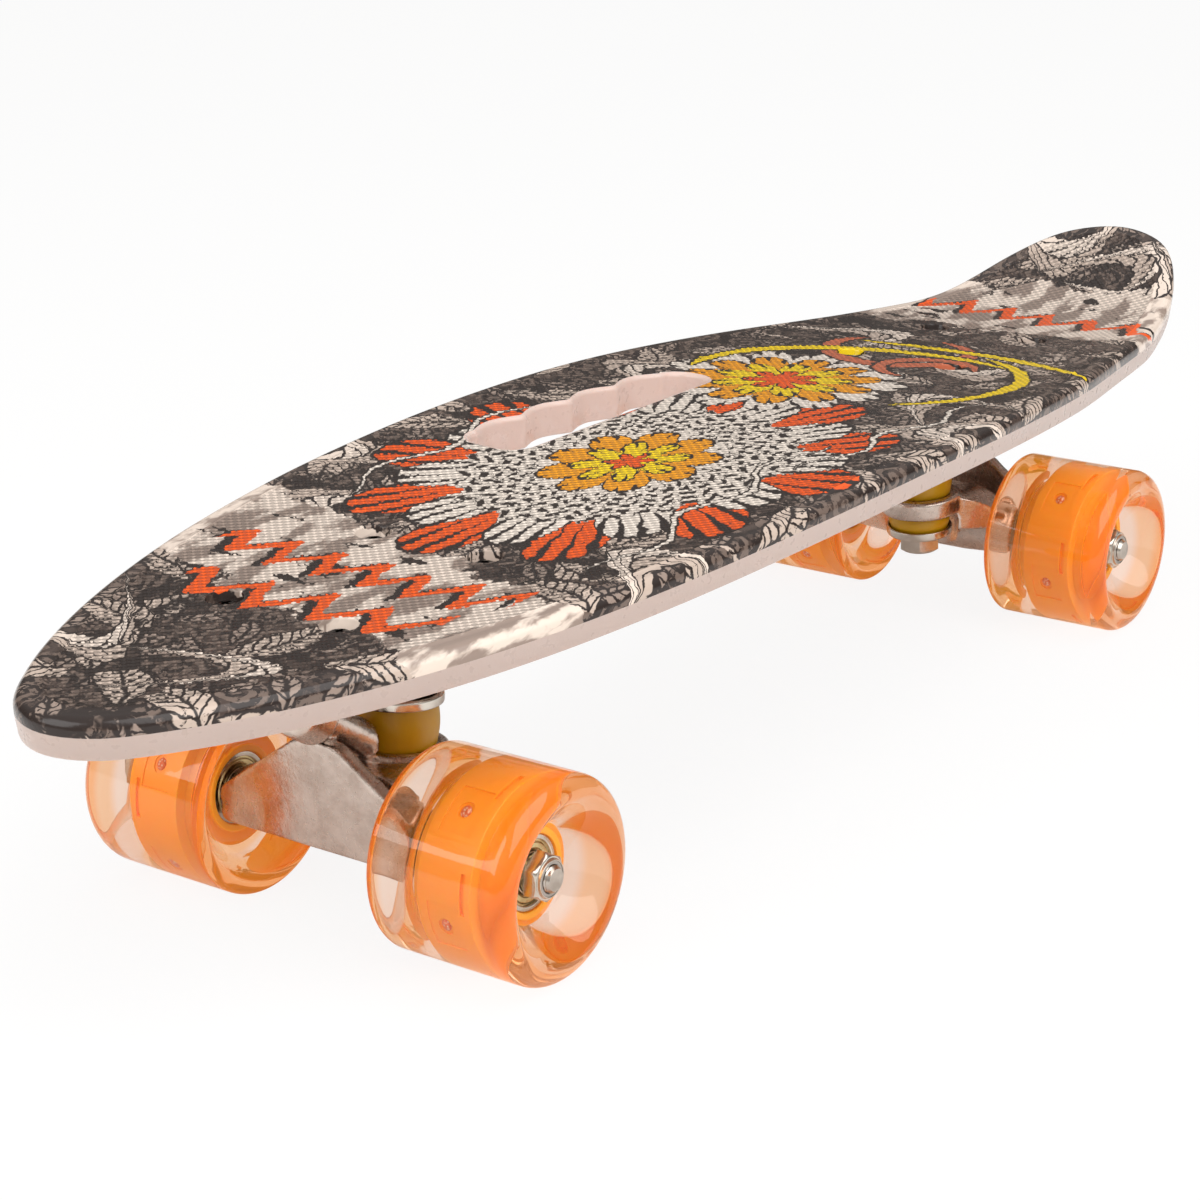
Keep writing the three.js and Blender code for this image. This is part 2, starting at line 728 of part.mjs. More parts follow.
function baseplateGeometry() {
  const plate = extruded(roundedRectangle(plateLength, plateWidth, plateCorner), plateFoot, plateTop);
  plate.translate(plateShiftX, 0, 0);
  const boss = turned([
    [0, bossFoot], [bossRadius, bossFoot], [bossRootRadius, nutFoot], [bossRootRadius, nutTop], [0, nutTop],
  ], ringSides);
  const housing = turned([
    [0, -housingFront], [housingRadius, -housingFront], [housingRadius, housingBack],
    [housingRadius * domeShare, housingBack + housingDome], [0, housingBack + housingDome],
  ], ringSides);
  const sin = Math.sin(pivotAngle);
  const cos = Math.cos(pivotAngle);
  const frontTopX = pivotX - housingFront * cos - housingRadius * sin;
  const frontTopHeight = pivotHeight - housingFront * sin + housingRadius * cos;
  const backX = pivotX + (housingBack + housingDome) * cos;
  const backHeight = pivotHeight + (housingBack + housingDome) * sin;
  const block = new THREE.Shape([
    new THREE.Vector2(frontTopX, frontTopHeight),
    new THREE.Vector2(pivotX, pivotHeight),
    new THREE.Vector2(backX, backHeight),
    new THREE.Vector2(backX + plateRib, plateTop),
    new THREE.Vector2(frontTopX - plateRib, plateTop),
  ]);
  const stand = (geometry) => geometry.rotateX(Math.PI / 2);
  const blockHalf = housingRadius * blockWidthShare;
  const ribShape = new THREE.Shape([
    new THREE.Vector2(-kingpinSetback, frontTopHeight),
    new THREE.Vector2(frontTopX + plateRib, frontTopHeight),
    new THREE.Vector2(frontTopX + plateRib, plateTop),
    new THREE.Vector2(-kingpinSetback, plateTop),
  ]);
  const belowPad = new THREE.BoxGeometry(plateLength + overrun, plateWidth + overrun, plateTop);
  belowPad.translate(plateShiftX, 0, plateTop / 2);
  let base = joined(
    solid(plate),
    solid(onKingpin(boss)),
    solid(onPivot(housing)),
    solid(stand(extruded(block, -blockHalf, blockHalf))),
    solid(stand(extruded(ribShape, -plateRib / 2, plateRib / 2))),
  ).intersect(solid(belowPad));
  const cupBore = cylinder(cupOuterRadius + seatGap, -pivotReach, housingBack, ringSides);
  const pinBore = cylinder(kingpinRadius + kingpinFit, bossFoot - overrun, nutFoot + overrun, ringSides);
  const nutPocket = hexPrism(headFlats + 2 * seatGap, nutFoot - seatGap, nutTop + overrun);
  base = cut(base, solid(onPivot(cupBore)), solid(onKingpin(pinBore)), solid(onKingpin(nutPocket)));
  for (const [x, y] of holePlaces()) {
    const hole = cylinder(screwRadius + screwFit, plateFoot - overrun, plateTop + overrun, recessSides);
    base = cut(base, solid(hole.translate(x, y, 0)));
  }
  return geometryOf(base);
}

function pivotCupGeometry() {
  const top = housingBack - seatGap;
  const inside = stemRadius + seatGap;
  return onPivot(turned([
    [inside, -housingFront], [cupOuterRadius, -housingFront], [cupOuterRadius, top], [0, top],
    [0, top - cupBottom], [inside, top - cupBottom], [inside, -housingFront],
  ], ringSides));
}

function kingpinGeometry() {
  const head = hexPrism(headFlats, headTop - headHeight, headTop);
  const shaft = cylinder(kingpinRadius, headTop - headHeight / 2, nutTop - seatGap, ringSides);
  return onKingpin(geometryOf(joined(solid(head), solid(shaft))));
}

function kingpinNutGeometry() {
  const bore = cylinder(kingpinRadius + kingpinFit, nutFoot - overrun, nutTop + overrun, ringSides);
  return onKingpin(geometryOf(cut(solid(hexPrism(headFlats, nutFoot, nutTop)), solid(bore))));
}

function bushingGeometry(radius, foot, top) {
  const inside = kingpinRadius + kingpinFit;
  const middle = (foot + top) / 2;
  const end = radius - bushingEndInset;
  return onKingpin(turned([
    [inside, foot], [end, foot], [radius, middle], [end, top], [inside, top], [inside, foot],
  ], ringSides));
}

// Cupped washer; its lip points to the bushing that it holds
function cupWasherGeometry(radius, plateFace, outerFace) {
  const inside = kingpinRadius + kingpinFit;
  const lipFace = plateFace + Math.sign(plateFace - outerFace) * cupLip;
  const corners = [
    [inside, outerFace], [radius, outerFace], [radius, lipFace], [radius - cupWall, lipFace],
    [radius - cupWall, plateFace], [inside, plateFace], [inside, outerFace],
  ];
  return onKingpin(turned(plateFace > outerFace ? corners : corners.reverse(), ringSides));
}

// A mounting screw with its nut run on, set into the deck's recess
function screwGeometry(recessFloorHeight) {
  const headFoot = recessFloorHeight + seatGap;
  const nutFace = plateFoot - seatGap;
  const shankFoot = nutFace - screwNutHeight - screwTail;
  const screw = turned([
    [0, shankFoot], [screwRadius, shankFoot], [screwRadius, headFoot], [screwHeadRadius, headFoot],
    [screwHeadRadius * screwCrownShare, headFoot + screwHeadHeight], [0, headFoot + screwHeadHeight],
  ], screwSides);
  const nut = hexPrism(screwNutFlats, nutFace - screwNutHeight, nutFace);
  return geometryOf(joined(solid(screw), solid(nut)));
}

function truckPieces({ prefix, axleX, facing }) {
  const truck = new THREE.Group();
  truck.position.x = axleX;
  truck.rotation.z = facing > 0 ? 0 : Math.PI;
  const boardBushing = bushingGeometry(boardBushingRadius, boardBushingFoot, boardBushingTop);
  const roadBushing = bushingGeometry(roadBushingRadius, roadBushingFoot, roadBushingTop);
  const pieces = [
    ['baseplate', baseplateGeometry(), finishes.casting],
    ['pivot_cup', pivotCupGeometry(), finishes.pivotCup],
    ['kingpin', kingpinGeometry(), finishes.zinc],
    ['kingpin_nut', kingpinNutGeometry(), finishes.zinc],
    ['boardside_bushing', boardBushing, finishes.bushing],
    ['roadside_bushing', roadBushing, finishes.bushing],
    ['boardside_cup_washer', cupWasherGeometry(boardCupRadius, topCupFoot, topCupTop), finishes.zinc],
    ['roadside_cup_washer', cupWasherGeometry(roadCupRadius, lowCupTop, lowCupFoot), finishes.zinc],
    ['hanger', hangerGeometry(), finishes.casting],
    ['axle', axleGeometry().translate(0, 0, wheelRadius), finishes.zinc],
  ];
  for (const [name, geometry, material] of pieces) {
    truck.add(named(`${prefix}_${name}`, geometry, material));
  }
  for (const hand of [1, -1]) {
    const side = hand * facing > 0 ? 'left' : 'right';
    const wheel = wheelPieces(`${prefix}_${side}`);
    wheel.position.set(0, hand * wheelTrack / 2, wheelRadius);
    wheel.rotation.z = hand > 0 ? 0 : Math.PI;
    truck.add(wheel);
  }
  holePlaces().forEach(([x, y], index) => {
    const floor = topHeight(axleX + facing * x, y) - recessDepth;
    const screw = named(`${prefix}_screw_${index + 1}`, screwGeometry(floor), finishes.screw);
    screw.position.set(x, y, 0);
    truck.add(screw);
  });
  return truck;
}

const board = new THREE.Group();
board.add(named('deck', deckGeometry(), finishes.deck));
for (const truck of trucks) {
  board.add(truckPieces(truck));
}

export default board;
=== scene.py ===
"""Looks of a small plastic cruiser skateboard: printed deck, cast trucks, clear light-up wheels.

Metres, in the row frame: +X to the nose, +Y to the board's left, +Z up, the ground at z = 0.
"""
import json
import math
from itertools import groupby

import bmesh
import bpy
import numpy as np
from mathutils import Matrix, Vector
from mathutils.geometry import delaunay_2d_cdt

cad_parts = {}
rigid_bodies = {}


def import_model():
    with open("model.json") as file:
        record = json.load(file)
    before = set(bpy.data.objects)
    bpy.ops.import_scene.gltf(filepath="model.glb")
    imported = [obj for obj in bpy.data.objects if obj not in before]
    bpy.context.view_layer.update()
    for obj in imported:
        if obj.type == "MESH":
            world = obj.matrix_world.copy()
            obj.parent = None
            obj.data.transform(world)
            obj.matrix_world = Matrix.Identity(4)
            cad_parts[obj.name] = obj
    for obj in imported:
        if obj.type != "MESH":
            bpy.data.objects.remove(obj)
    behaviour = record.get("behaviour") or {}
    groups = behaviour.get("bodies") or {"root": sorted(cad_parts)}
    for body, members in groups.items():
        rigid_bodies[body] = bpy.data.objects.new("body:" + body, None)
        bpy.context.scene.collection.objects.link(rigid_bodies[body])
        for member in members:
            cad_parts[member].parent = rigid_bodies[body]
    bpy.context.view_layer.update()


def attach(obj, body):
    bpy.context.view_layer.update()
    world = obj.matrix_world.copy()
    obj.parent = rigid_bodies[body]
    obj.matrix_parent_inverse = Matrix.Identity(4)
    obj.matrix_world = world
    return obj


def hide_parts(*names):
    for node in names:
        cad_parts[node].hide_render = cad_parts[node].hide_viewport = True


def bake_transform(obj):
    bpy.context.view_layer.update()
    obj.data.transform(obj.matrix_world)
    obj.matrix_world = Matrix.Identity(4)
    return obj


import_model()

# Deck
deck_length = 0.609
deck_half_width = 0.085
deck_mid_height = 0.105
edge_depth = 0.0115
skin_thickness = 0.004
skirt_thickness = 0.0045
skirt_draft = 0.0008
rim_roll = 0.0035
film_depth = 0.005
concave_depth = 0.003
crown_x = 0.012
nose_drop = 0.0067
tail_drop = 0.009
tail_drop_reach = 0.262
kick_start_x = -0.217
kick_radius = 0.137
kick_angle = math.radians(21.5)
outline_shares = (
    (1, 0), (0.985, 0.165), (0.925, 0.345), (0.81, 0.568), (0.649, 0.771), (0.455, 0.911),
    (0.235, 0.985), (0.04, 1), (-0.156, 0.973), (-0.383, 0.871), (-0.586, 0.719), (-0.76, 0.588),
    (-0.892, 0.452), (-0.974, 0.256), (-1, 0),
)
outline_points = 400
segment_samples = 40
grid_pitch = 0.0032
bead_inset = 0.0068
bead_width = 0.0014
bead_height = 0.0004
edge_round = 0.0009
roll_steps = 6

# Carry handle
handle_mid_x = 0.010
handle_length = 0.115
handle_inner_y = -0.032
handle_outer_y = -0.0525
handle_taper = 0.006
handle_corner = 0.008
handle_collar = 0.0035
handle_lip = 0.0016
scallop_depth = 0.0038
scallop_count = 4
cusp_softness = 0.12

# Ribs, truck pads and screw recesses
rib_thickness = 0.0022
rib_edge_gap = 0.002
rib_spacing_along = 0.064
rib_spacing_across = 0.044
rib_step = 0.006
rib_overlap = 0.0008
pad_length = 0.090
pad_width = 0.062
pad_corner = 0.008
pad_bottom = 0.086
pad_round = 0.0012
recess_radius = 0.0053
recess_lip = 0.0007
recess_depth = 0.0046
recess_points = 40
hole_length = 0.0635
hole_width = 0.0413

# Wheels and bearings; heights run along the axle from the wheel's middle, outboard up
wheel_radius = 0.030
wheel_width = 0.047
wheel_track = 0.1072
tyre_offset = 0.00125
crest_radius = 0.0244
outboard_corner = 0.0052
inboard_crest_radius = 0.0285
inboard_corner = 0.0015
bowl_floor = 0.0128
bowl_radius = 0.0136
outboard_swell = 1.6
lining_overlap = 0.0016
core_radius = 0.019
core_band_half = 0.009
core_half_width = 0.012
hub_radius = 0.0132
hub_end = 0.0126
hub_bore = 0.01115
core_edge_round = 0.0004
led_count = 4
led_height = -0.0004
led_turn = math.radians(-15)
led_radius = 0.0016
led_dome = 0.0009
socket_radius = 0.0024
socket_depth = 0.0012
pocket_length = 0.013
pocket_width = 0.0105
pocket_depth = 0.0005
slot_height = 0.0062
slot_width = 0.0016
slot_angle = math.radians(31)
slot_depth = 0.0014
bearing_radius = 0.011
bearing_width = 0.007
bearing_rim_radius = 0.0096
bearing_inner_radius = 0.0062
shield_radius = 0.0064
shield_depth = 0.0005
shield_step = 0.00025
bearing_bore = 0.0042

# Trucks, measured from the ground below the axle, +X to the board's end
axle_x = {"front": 0.1915305, "rear": -0.1604715}
axle_radius = 0.004
axle_half_length = 0.074
axle_chamfer = 0.0008
thread_length = 0.0095
thread_pitch = 0.0010
thread_depth = 0.00042
kingpin_setback = 0.0225
ring_height = 0.043
kingpin_lean = math.radians(4)
pivot_angle = math.radians(33)
pivot_reach = 0.045
seat_gap = 0.0003
ring_radius = 0.0155
ring_thickness = 0.0075
ring_bore = 0.0076
seat_depth = 0.001
seat_radius = 0.0128
relief_radius = 0.0152
arm_mid_radius = 0.0103
arm_end_radius = 0.0084
arm_mid_half = 0.010
arm_tip_radius = 0.0072
arm_tip_length = 0.003
arm_flat = 0.0088
speed_washer = 0.0008
speed_washer_radius = 0.0058
web_thickness = 0.0046
web_half_width = 0.0405
web_top_half_width = 0.0068
web_shoulder = 0.035
web_top = 0.0592
web_foot = 0.0238
web_lean = math.radians(5.5)
web_rim = 0.0032
web_pocket = 0.0021
gusset_half_width = 0.034
gusset_bottom = 0.0325
gusset_end_height = 0.0375
neck_radius = 0.0058
neck_waist = 0.0050
stem_radius = 0.0045
stem_tip = 0.0036
kingpin_radius = 0.0049
head_flats = 0.014
head_height = 0.0065
nut_height = 0.0075
nut_recess = 0.0015
board_bushing_height = 0.0142
board_bushing_radius = 0.0124
road_bushing_height = 0.0075
road_bushing_radius = 0.0114
bushing_bulge = 0.0007
bushing_edge = 0.0009
cup_plate = 0.002
cup_lip = 0.0013
cup_wall = 0.0012
board_cup_radius = 0.0136
road_cup_radius = 0.0123
plate_length = 0.081
plate_width = 0.055
plate_thickness = 0.005
plate_corner = 0.007
plate_shift_x = -0.008
boss_radius = 0.0123
boss_root_radius = 0.0155
housing_radius = 0.0084
housing_reach = 0.0047
housing_dome = 0.0035
plate_rib = 0.005
cup_outer_radius = 0.0064
axle_nut_flats = 0.013
axle_nut_height = 0.005
axle_nut_collar = 0.0009
nylon_radius = 0.0051
screw_radius = 0.0024
screw_head_radius = 0.0044
screw_head_height = 0.0026
screw_nut_flats = 0.008
screw_nut_height = 0.0045
screw_tail = 0.002
cross_width = 0.0011
cross_length = 0.0048
cross_depth = 0.0014
voxel_size = 0.00065
fillet_rounds = 5
overrun = 0.005

# Rounded corners, and the bevels of hexagons: how far each reaches inwards and along the axis
bearing_round = 0.0003
inner_ring_round = 0.0004
washer_round = 0.0002
axle_nut_round = 0.00025
axle_nut_bevels = ((0.0002, 0.0008), (0.0003, 0.0011))
collar_foot_gap = 0.0001
collar_top_gap = 0.0004
nylon_low = 0.0012
nylon_high = 0.0002
nylon_seat = 0.0005
web_round = 0.003
web_pocket_round = 0.004
ring_round = 0.0016
cup_round = 0.0005
cup_floor = 0.0013
cup_reach = 0.0006
kingpin_round = 0.0004
head_bevels = ((0.0006, 0.0012), (0.0003, 0.0005))
kingpin_nut_round = 0.0003
kingpin_nut_bevels = ((0.0003, 0.0008), (0.0003, 0.0008))
cup_washer_round = 0.0011
screw_tip = 0.0005
screw_thread_run = 0.001
screw_head_edge = 0.0004
screw_head_inset = 0.0002
screw_nut_inset = 0.0003
screw_nut_round = 0.0002
screw_nut_bevels = ((0.0004, 0.0009), (0.0002, 0.0004))
plate_excess = 0.002  # cast above the pad's face, then cut flat

# Welding and counts of points
weld_distance = 1e-7
turned_sides = 96
small_sides = 48
led_sides = 24
corner_steps = 11
scallop_steps = 24
bowl_steps = 24
tread_steps = 12
thread_steps = 8
screw_thread_rows = 30
gusset_rows = 40
gusset_columns = 8

# Camera, lamps and surroundings
camera_place = (0.7398, 0.4853, 0.3436)
camera_target = (0.0675, 0.0, 0.0611)
camera_roll = math.radians(-0.60)
camera_lens = 83.0
sensor_width = 36.0
clip_range = (0.05, 50.0)
lamp_target = (0.0, 0.0, 0.05)
lamps = (
    ("key", (0.2, 1.0, 1.3), 1.7, 22.0),
    ("fill", (1.3, -0.5, 0.9), 1.0, 9.0),
)
floor_half_size = 6.0
floor_glow = 0.88
front_direction = (0.81, 0.585, 0.0)
front_range = (-0.4, 0.5)
sky_range = (0.2, 0.95)
back_tone = (0.14, 0.13, 0.12, 1.0)
front_tone = (0.50, 0.48, 0.46, 1.0)
sky_tone = (0.85, 0.84, 0.83, 1.0)
plain_white = (1.0, 1.0, 1.0, 1.0)

# The print, in millimetres over the deck
in_millimetres = (1000.0, 1000.0, 1000.0)
weave_count = 0.3
weave_depth = 0.00042
# x, y, angle, length, width, bend
great_leaves = (
    (262.0, -20.0, 2.6, 21.0, 10.0, 3.0),
    (252.0, 24.0, 0.5, 17.0, 8.0, -3.0),
    (142.0, -56.0, 0.2, 27.0, 12.0, 3.0),
    (134.0, 62.0, 2.8, 28.0, 12.0, -3.0),
    (98.0, -68.0, 3.4, 22.0, 10.0, 2.0),
    (-18.0, 64.0, 0.3, 30.0, 13.0, 3.0),
    (-66.0, 44.0, 2.5, 22.0, 10.0, -2.0),
    (-112.0, 38.0, 2.2, 24.0, 11.0, 2.0),
    (-40.0, -66.0, 0.1, 24.0, 9.0, 2.0),
    (-158.0, -26.0, 1.0, 24.0, 10.0, -2.0),
    (-276.0, -12.0, 1.9, 28.0, 14.0, 2.0),
    (-284.0, 24.0, 0.9, 22.0, 11.0, -2.0),
    (-258.0, 40.0, 2.6, 22.0, 11.0, 2.0),
)
# x, y, angle, length, pitch, swing, width
zigzags = (
    (180.0, -1.0, 1.56, 108.0, 17.0, 6.8, 3.9),
    (208.0, 2.0, 1.6, 88.0, 21.0, 6.4, 3.8),
    (-222.0, 4.0, 1.52, 100.0, 18.0, 6.2, 3.8),
)
# x, y, radius, width, angle of the middle, half angle
yellow_arcs = (
    (-74.0, 10.0, 62.0, 3.2, -2.5, 1.2),
    (-92.0, 6.0, 52.0, 2.8, 1.7, 1.1),
    (-40.0, 8.0, 108.0, 2.6, 3.0, 0.5),
)
copper_rings = (
    (-134.0, -8.0, 26.0, 4.0, 0.4, 2.6),
    (-112.0, 16.0, 17.0, 3.0, -2.2, 2.2),
)
# start, end, height, slope, wave, swing, width
tendrils = (
    (10.0, 150.0, 52.0, 0.10, 8.5, 5.0, 1.1),
    (-70.0, 40.0, 60.0, -0.06, 7.0, 4.0, 1.0),
    (20.0, 130.0, -56.0, 0.08, 9.5, 4.5, 1.0),
)
# middle, slope, half width
light_bands = ((184.0, -0.25, 28.0), (-224.0, 0.15, 31.0))
# x, y, stretch along the board
large_flower = (56.0, 4.0, 0.74)
small_flower = (-62.0, -14.0, 0.9)
lace_radii = (24.0, 50.0)


# Colours
def linear(red, green, blue):
    """Linear RGBA of an 8-bit sRGB colour."""
    shares = [level / 255 for level in (red, green, blue)]
    return (*(s / 12.92 if s <= 0.04045 else ((s + 0.055) / 1.055) ** 2.4 for s in shares), 1.0)


ink = linear(45, 36, 33)
soot = linear(74, 61, 55)
ash = linear(112, 96, 87)
stone = linear(150, 132, 121)
pale = linear(196, 177, 163)
light = linear(228, 211, 197)
orange = linear(238, 90, 20)
amber = linear(240, 158, 22)
yellow = linear(244, 208, 18)
white = linear(238, 225, 212)
copper = linear(200, 108, 76)
blot_ink = linear(48, 39, 35)
petal_ink = linear(44, 35, 32)
tendril_ink = linear(46, 37, 33)
# painted shade for the gaps between the woven domes
painted_gap_shade = linear(36, 28, 25)
# petals, inner and outer radius, turn and colour
large_petals = ((11, 40.0, 78.0, 0.4, orange), (11, 36.0, 66.0, 1.97, white))
heart_petals = ((9, 20.0, 27.0, 0.0, amber), (8, 9.0, 18.0, 0.6, yellow), (6, 3.0, 8.0, 0.0, orange))
small_petals = (
    (13, 34.0, 44.0, 0.2, white), (11, 24.0, 35.0, 0.5, amber), (9, 14.0, 25.0, 0.1, yellow),
    (7, 6.0, 14.0, 0.4, orange),
)


# Shader graph
class Field:
    """A number over a surface; Python's operators add Math nodes to its graph."""

    def __init__(self, graph, socket):
        self.graph = graph
        self.socket = socket

    def __add__(self, other):
        return self.graph.math("ADD", self, other)

    def __sub__(self, other):
        return self.graph.math("SUBTRACT", self, other)

    def __rsub__(self, other):
        return self.graph.math("SUBTRACT", other, self)

    def __mul__(self, other):
        return self.graph.math("MULTIPLY", self, other)

    def __truediv__(self, other):
        return self.graph.math("DIVIDE", self, other)

    def __pow__(self, other):
        return self.graph.math("POWER", self, other)

    def __abs__(self):
        return self.graph.math("ABSOLUTE", self)


class Graph:
    """A node tree; each method adds nodes and gives what comes out of them."""

    def __init__(self, tree):
        self.tree = tree

    def put(self, value, socket):
        """Links a field or socket to an input, or sets the input to a plain value."""
        source = value.socket if isinstance(value, Field) else value
        if isinstance(source, bpy.types.NodeSocket):
            self.tree.links.new(source, socket)
        else:
            socket.default_value = source

    def node(self, kind, inputs=None, **options):
        """A new node's outputs; its inputs are given by name or number."""
        made = self.tree.nodes.new("ShaderNode" + kind)
        for name, value in options.items():
            setattr(made, name, value)
        for name, value in (inputs or {}).items():
            self.put(value, made.inputs[name])
        return made.outputs

    def math(self, operation, first, second=0.0, *third):
        values = dict(enumerate((first, second, *third)))
        return Field(self, self.node("Math", values, operation=operation)[0])

    def vector(self, operation, vector, values):
        return self.node("VectorMath", {0: vector, 1: values}, operation=operation)[0]

    def split(self, vector, kind="SeparateXYZ"):
        return [Field(self, output) for output in self.node(kind, {0: vector})]

    def joined(self, x, y, z=0.0):
        return self.node("CombineXYZ", {0: x, 1: y, 2: z})[0]

    def noise(self, vector, scale, detail=3.0, roughness=0.5):
        inputs = {"Vector": vector, "Scale": scale, "Detail": detail, "Roughness": roughness}
        return Field(self, self.node("TexNoise", inputs)[0])

    def cells(self, vector, scale, randomness):
        return self.node("TexVoronoi", {"Vector": vector, "Scale": scale, "Randomness": randomness})

    def step(self, value, low, high, kind="SMOOTHSTEP"):
        """0 below low, 1 above high, smooth between."""
        inputs = {"Value": value, "From Min": low, "From Max": high}
        return Field(self, self.node("MapRange", inputs, interpolation_type=kind)[0])

    def blend(self, factor, first, second):
        """A colour between two."""
        return self.node("Mix", {0: factor, 6: first, 7: second}, data_type="RGBA")[2]

    def bump(self, height, distance):
        return self.node("Bump", {"Height": height, "Distance": distance})[0]

    def attribute(self, name, output="Fac"):
        return Field(self, self.node("Attribute", attribute_name=name)[output])

    def saw(self, value):
        """Falls from 0.5 to 0 and rises again within each unit of a value."""
        return abs(self.math("FRACT", value) - 0.5)

    def polar(self, x, y):
        """Distance and angle of a place."""
        distance = self.math("SQRT", x * x + y * y)
        return distance, self.math("ARCTAN2", y, x)

    def bow(self, share):
        """A half circle over shares from -1 to 1."""
        return self.math("SQRT", self.math("MAXIMUM", 1.0 - share * share, 0.0))

    def seen(self):
        """1 on rays from the camera, straight or through the clear tyres, and 0 on others."""
        path = self.node("LightPath")
        return self.math("MAXIMUM", path["Is Camera Ray"], path["Is Transmission Ray"])


class Look(Graph):
    """The node tree of one material round a principled shader."""

    def __init__(self, name):
        self.material = bpy.data.materials.new(name)
        self.material.use_nodes = True
        super().__init__(self.material.node_tree)
        self.tree.nodes.clear()
        self.output = self.tree.nodes.new("ShaderNodeOutputMaterial")
        self.shader = self.tree.nodes.new("ShaderNodeBsdfPrincipled")
        self.show(self.shader.outputs[0])

    def show(self, shader, socket="Surface"):
        self.put(shader, self.output.inputs[socket])

    def place(self):
        """The surface point in the object's own coordinates, in millimetres."""
        return self.vector("MULTIPLY", self.node("TexCoord")["Object"], in_millimetres)

    def set(self, **values):
        """Sets the shader's inputs, named with _ for a space, and gives the material."""
        for name, value in values.items():
            self.put(value, self.shader.inputs[name.replace("_", " ")])
        return self.material


# Printed film, drawn in millimetres
class Print(Look):
    """Layers of the deck's print: each covers the colour below by a mask."""

    def __init__(self, colour):
        super().__init__("printed_film")
        spread = self.attribute("print_place", "Vector")
        x, y = self.split(self.vector("MULTIPLY", spread, in_millimetres))[:2]
        self.woven = self.attribute("woven")
        along_wave = self.math("COSINE", x * (math.tau * weave_count))
        across_wave = self.math("COSINE", y * (math.tau * weave_count))
        self.dome = self.math("MAXIMUM", along_wave * across_wave, -0.4)
        raised = self.dome * self.woven
        self.flat = self.joined(x, y)
        wobble_x = self.noise(self.flat, 0.16) - 0.5
        wobble_y = self.noise(self.joined(x, y, 37.0), 0.16) - 0.5
        smooth_x = x + wobble_x * 4.0 + raised * 0.8
        smooth_y = y + wobble_y * 4.0 + raised * 0.6
        self.point = self.joined(smooth_x, smooth_y)
        self.grain = self.noise(self.point, 0.5, 4.0, 0.65)
        fray = self.noise(self.joined(smooth_x + self.grain, smooth_y, 11.0), 0.9, 2.0) - 0.5
        self.x = smooth_x + fray * 1.0
        self.y = smooth_y + fray * 0.8
        self.colour = colour

    def cover(self, mask, colour):
        self.colour = self.blend(mask, self.colour, colour)

    def worn(self, low, width=0.06):
        """0 where the print has rubbed off."""
        return self.step(self.grain, low, low + width)

    def about(self, x, y, stretch=1.0):
        """Distance and angle about a place; stretch shortens distances along the board."""
        return self.polar((self.x - x) * stretch, self.y - y)

    def turned(self, x, y, angle):
        """Coordinates along and across a direction through a place."""
        return rotated(self.x - x, self.y - y, math.cos(angle), math.sin(angle))

    def scattered(self, pitch, randomness, x, y):
        """Coordinates about the points of a random pattern moved by (x, y), and its random colour."""
        cells = self.cells(self.vector("ADD", self.point, (x, y, 0.0)), 1 / pitch, randomness)
        centre = self.split(cells["Position"])
        return self.x + x - centre[0], self.y + y - centre[1], cells["Color"]


def rotated(x, y, cosine, sine):
    return x * cosine + y * sine, y * cosine - x * sine


def grunge(sheet, scale, low, colour):
    """Worn patches of one colour."""
    patches = sheet.noise(sheet.point, scale, 5.0, 0.68)
    sheet.cover(sheet.step(patches, low, low + 0.04), colour)


def leaves(sheet, pitch, length, width, offset, colour):
    """One leaf in each cell of a random pattern, each turned its own way, with dark veins."""
    local_x, local_y, chance = sheet.scattered(pitch, 0.72, offset, offset)
    angle = sheet.split(chance, "SeparateColor")[0] * math.tau
    cosine = sheet.math("COSINE", angle)
    along, across = rotated(local_x, local_y, cosine, sheet.math("SINE", angle))
    across = abs(across - along * along * 0.012)
    share = along / length
    edge = (1.0 - share * share) * width
    rib = sheet.step(across, 0.35, 0.9)
    veins = sheet.step(sheet.saw((across * 0.9 - along) / 3.7), 0.1, 0.18)
    worn = sheet.worn(0.36, 0.08)
    sheet.cover(sheet.step(edge - across, 0.0, 0.5), ink)
    sheet.cover(sheet.step(edge - across, 1.1, 1.5) * rib * veins * worn, colour)


def great_leaf(sheet, x, y, angle, length, width, bend):
    """A large placed leaf: pale blade, shaded half, dark outline, midrib and veins."""
    along, across = sheet.turned(x, y, angle)
    across = across - along * along * (bend / length)
    share = along / length
    belly = sheet.math("MAXIMUM", 1.0 - share * share, 0.0)
    edge = belly * (1.0 - share * 0.35) * width
    near = sheet.step(belly, 0.0, 0.05)
    side = abs(across)
    teeth = sheet.saw(along / 5.3) * 2.4
    edge = edge - teeth * sheet.step(edge, 0.0, 3.0)
    veins = sheet.step(sheet.saw((side * 1.1 - along) / 6.4), 0.07, 0.12)
    midrib = sheet.step(side, 0.5, 1.0)
    worn = sheet.worn(0.33, 0.05)
    tone = sheet.blend(sheet.step(across, -0.2, 0.4), pale, light)
    sheet.cover(sheet.step(edge - side, -1.6, -1.1) * near, ink)
    sheet.cover(sheet.step(edge - side, 0.0, 0.5) * veins * midrib * worn * near, tone)


def scrolls(sheet, pitch, reach, offset, colour):
    """A spiral line in each cell of a random pattern."""
    distance, angle = sheet.polar(*sheet.scattered(pitch, 0.85, offset, -offset)[:2])
    angle = angle / math.tau
    line = sheet.step(sheet.saw(distance / 4.2 + angle), 0.22, 0.28)
    near = 1.0 - sheet.step(distance, reach, reach + 0.8)
    sheet.cover(line * near * sheet.worn(0.4), colour)


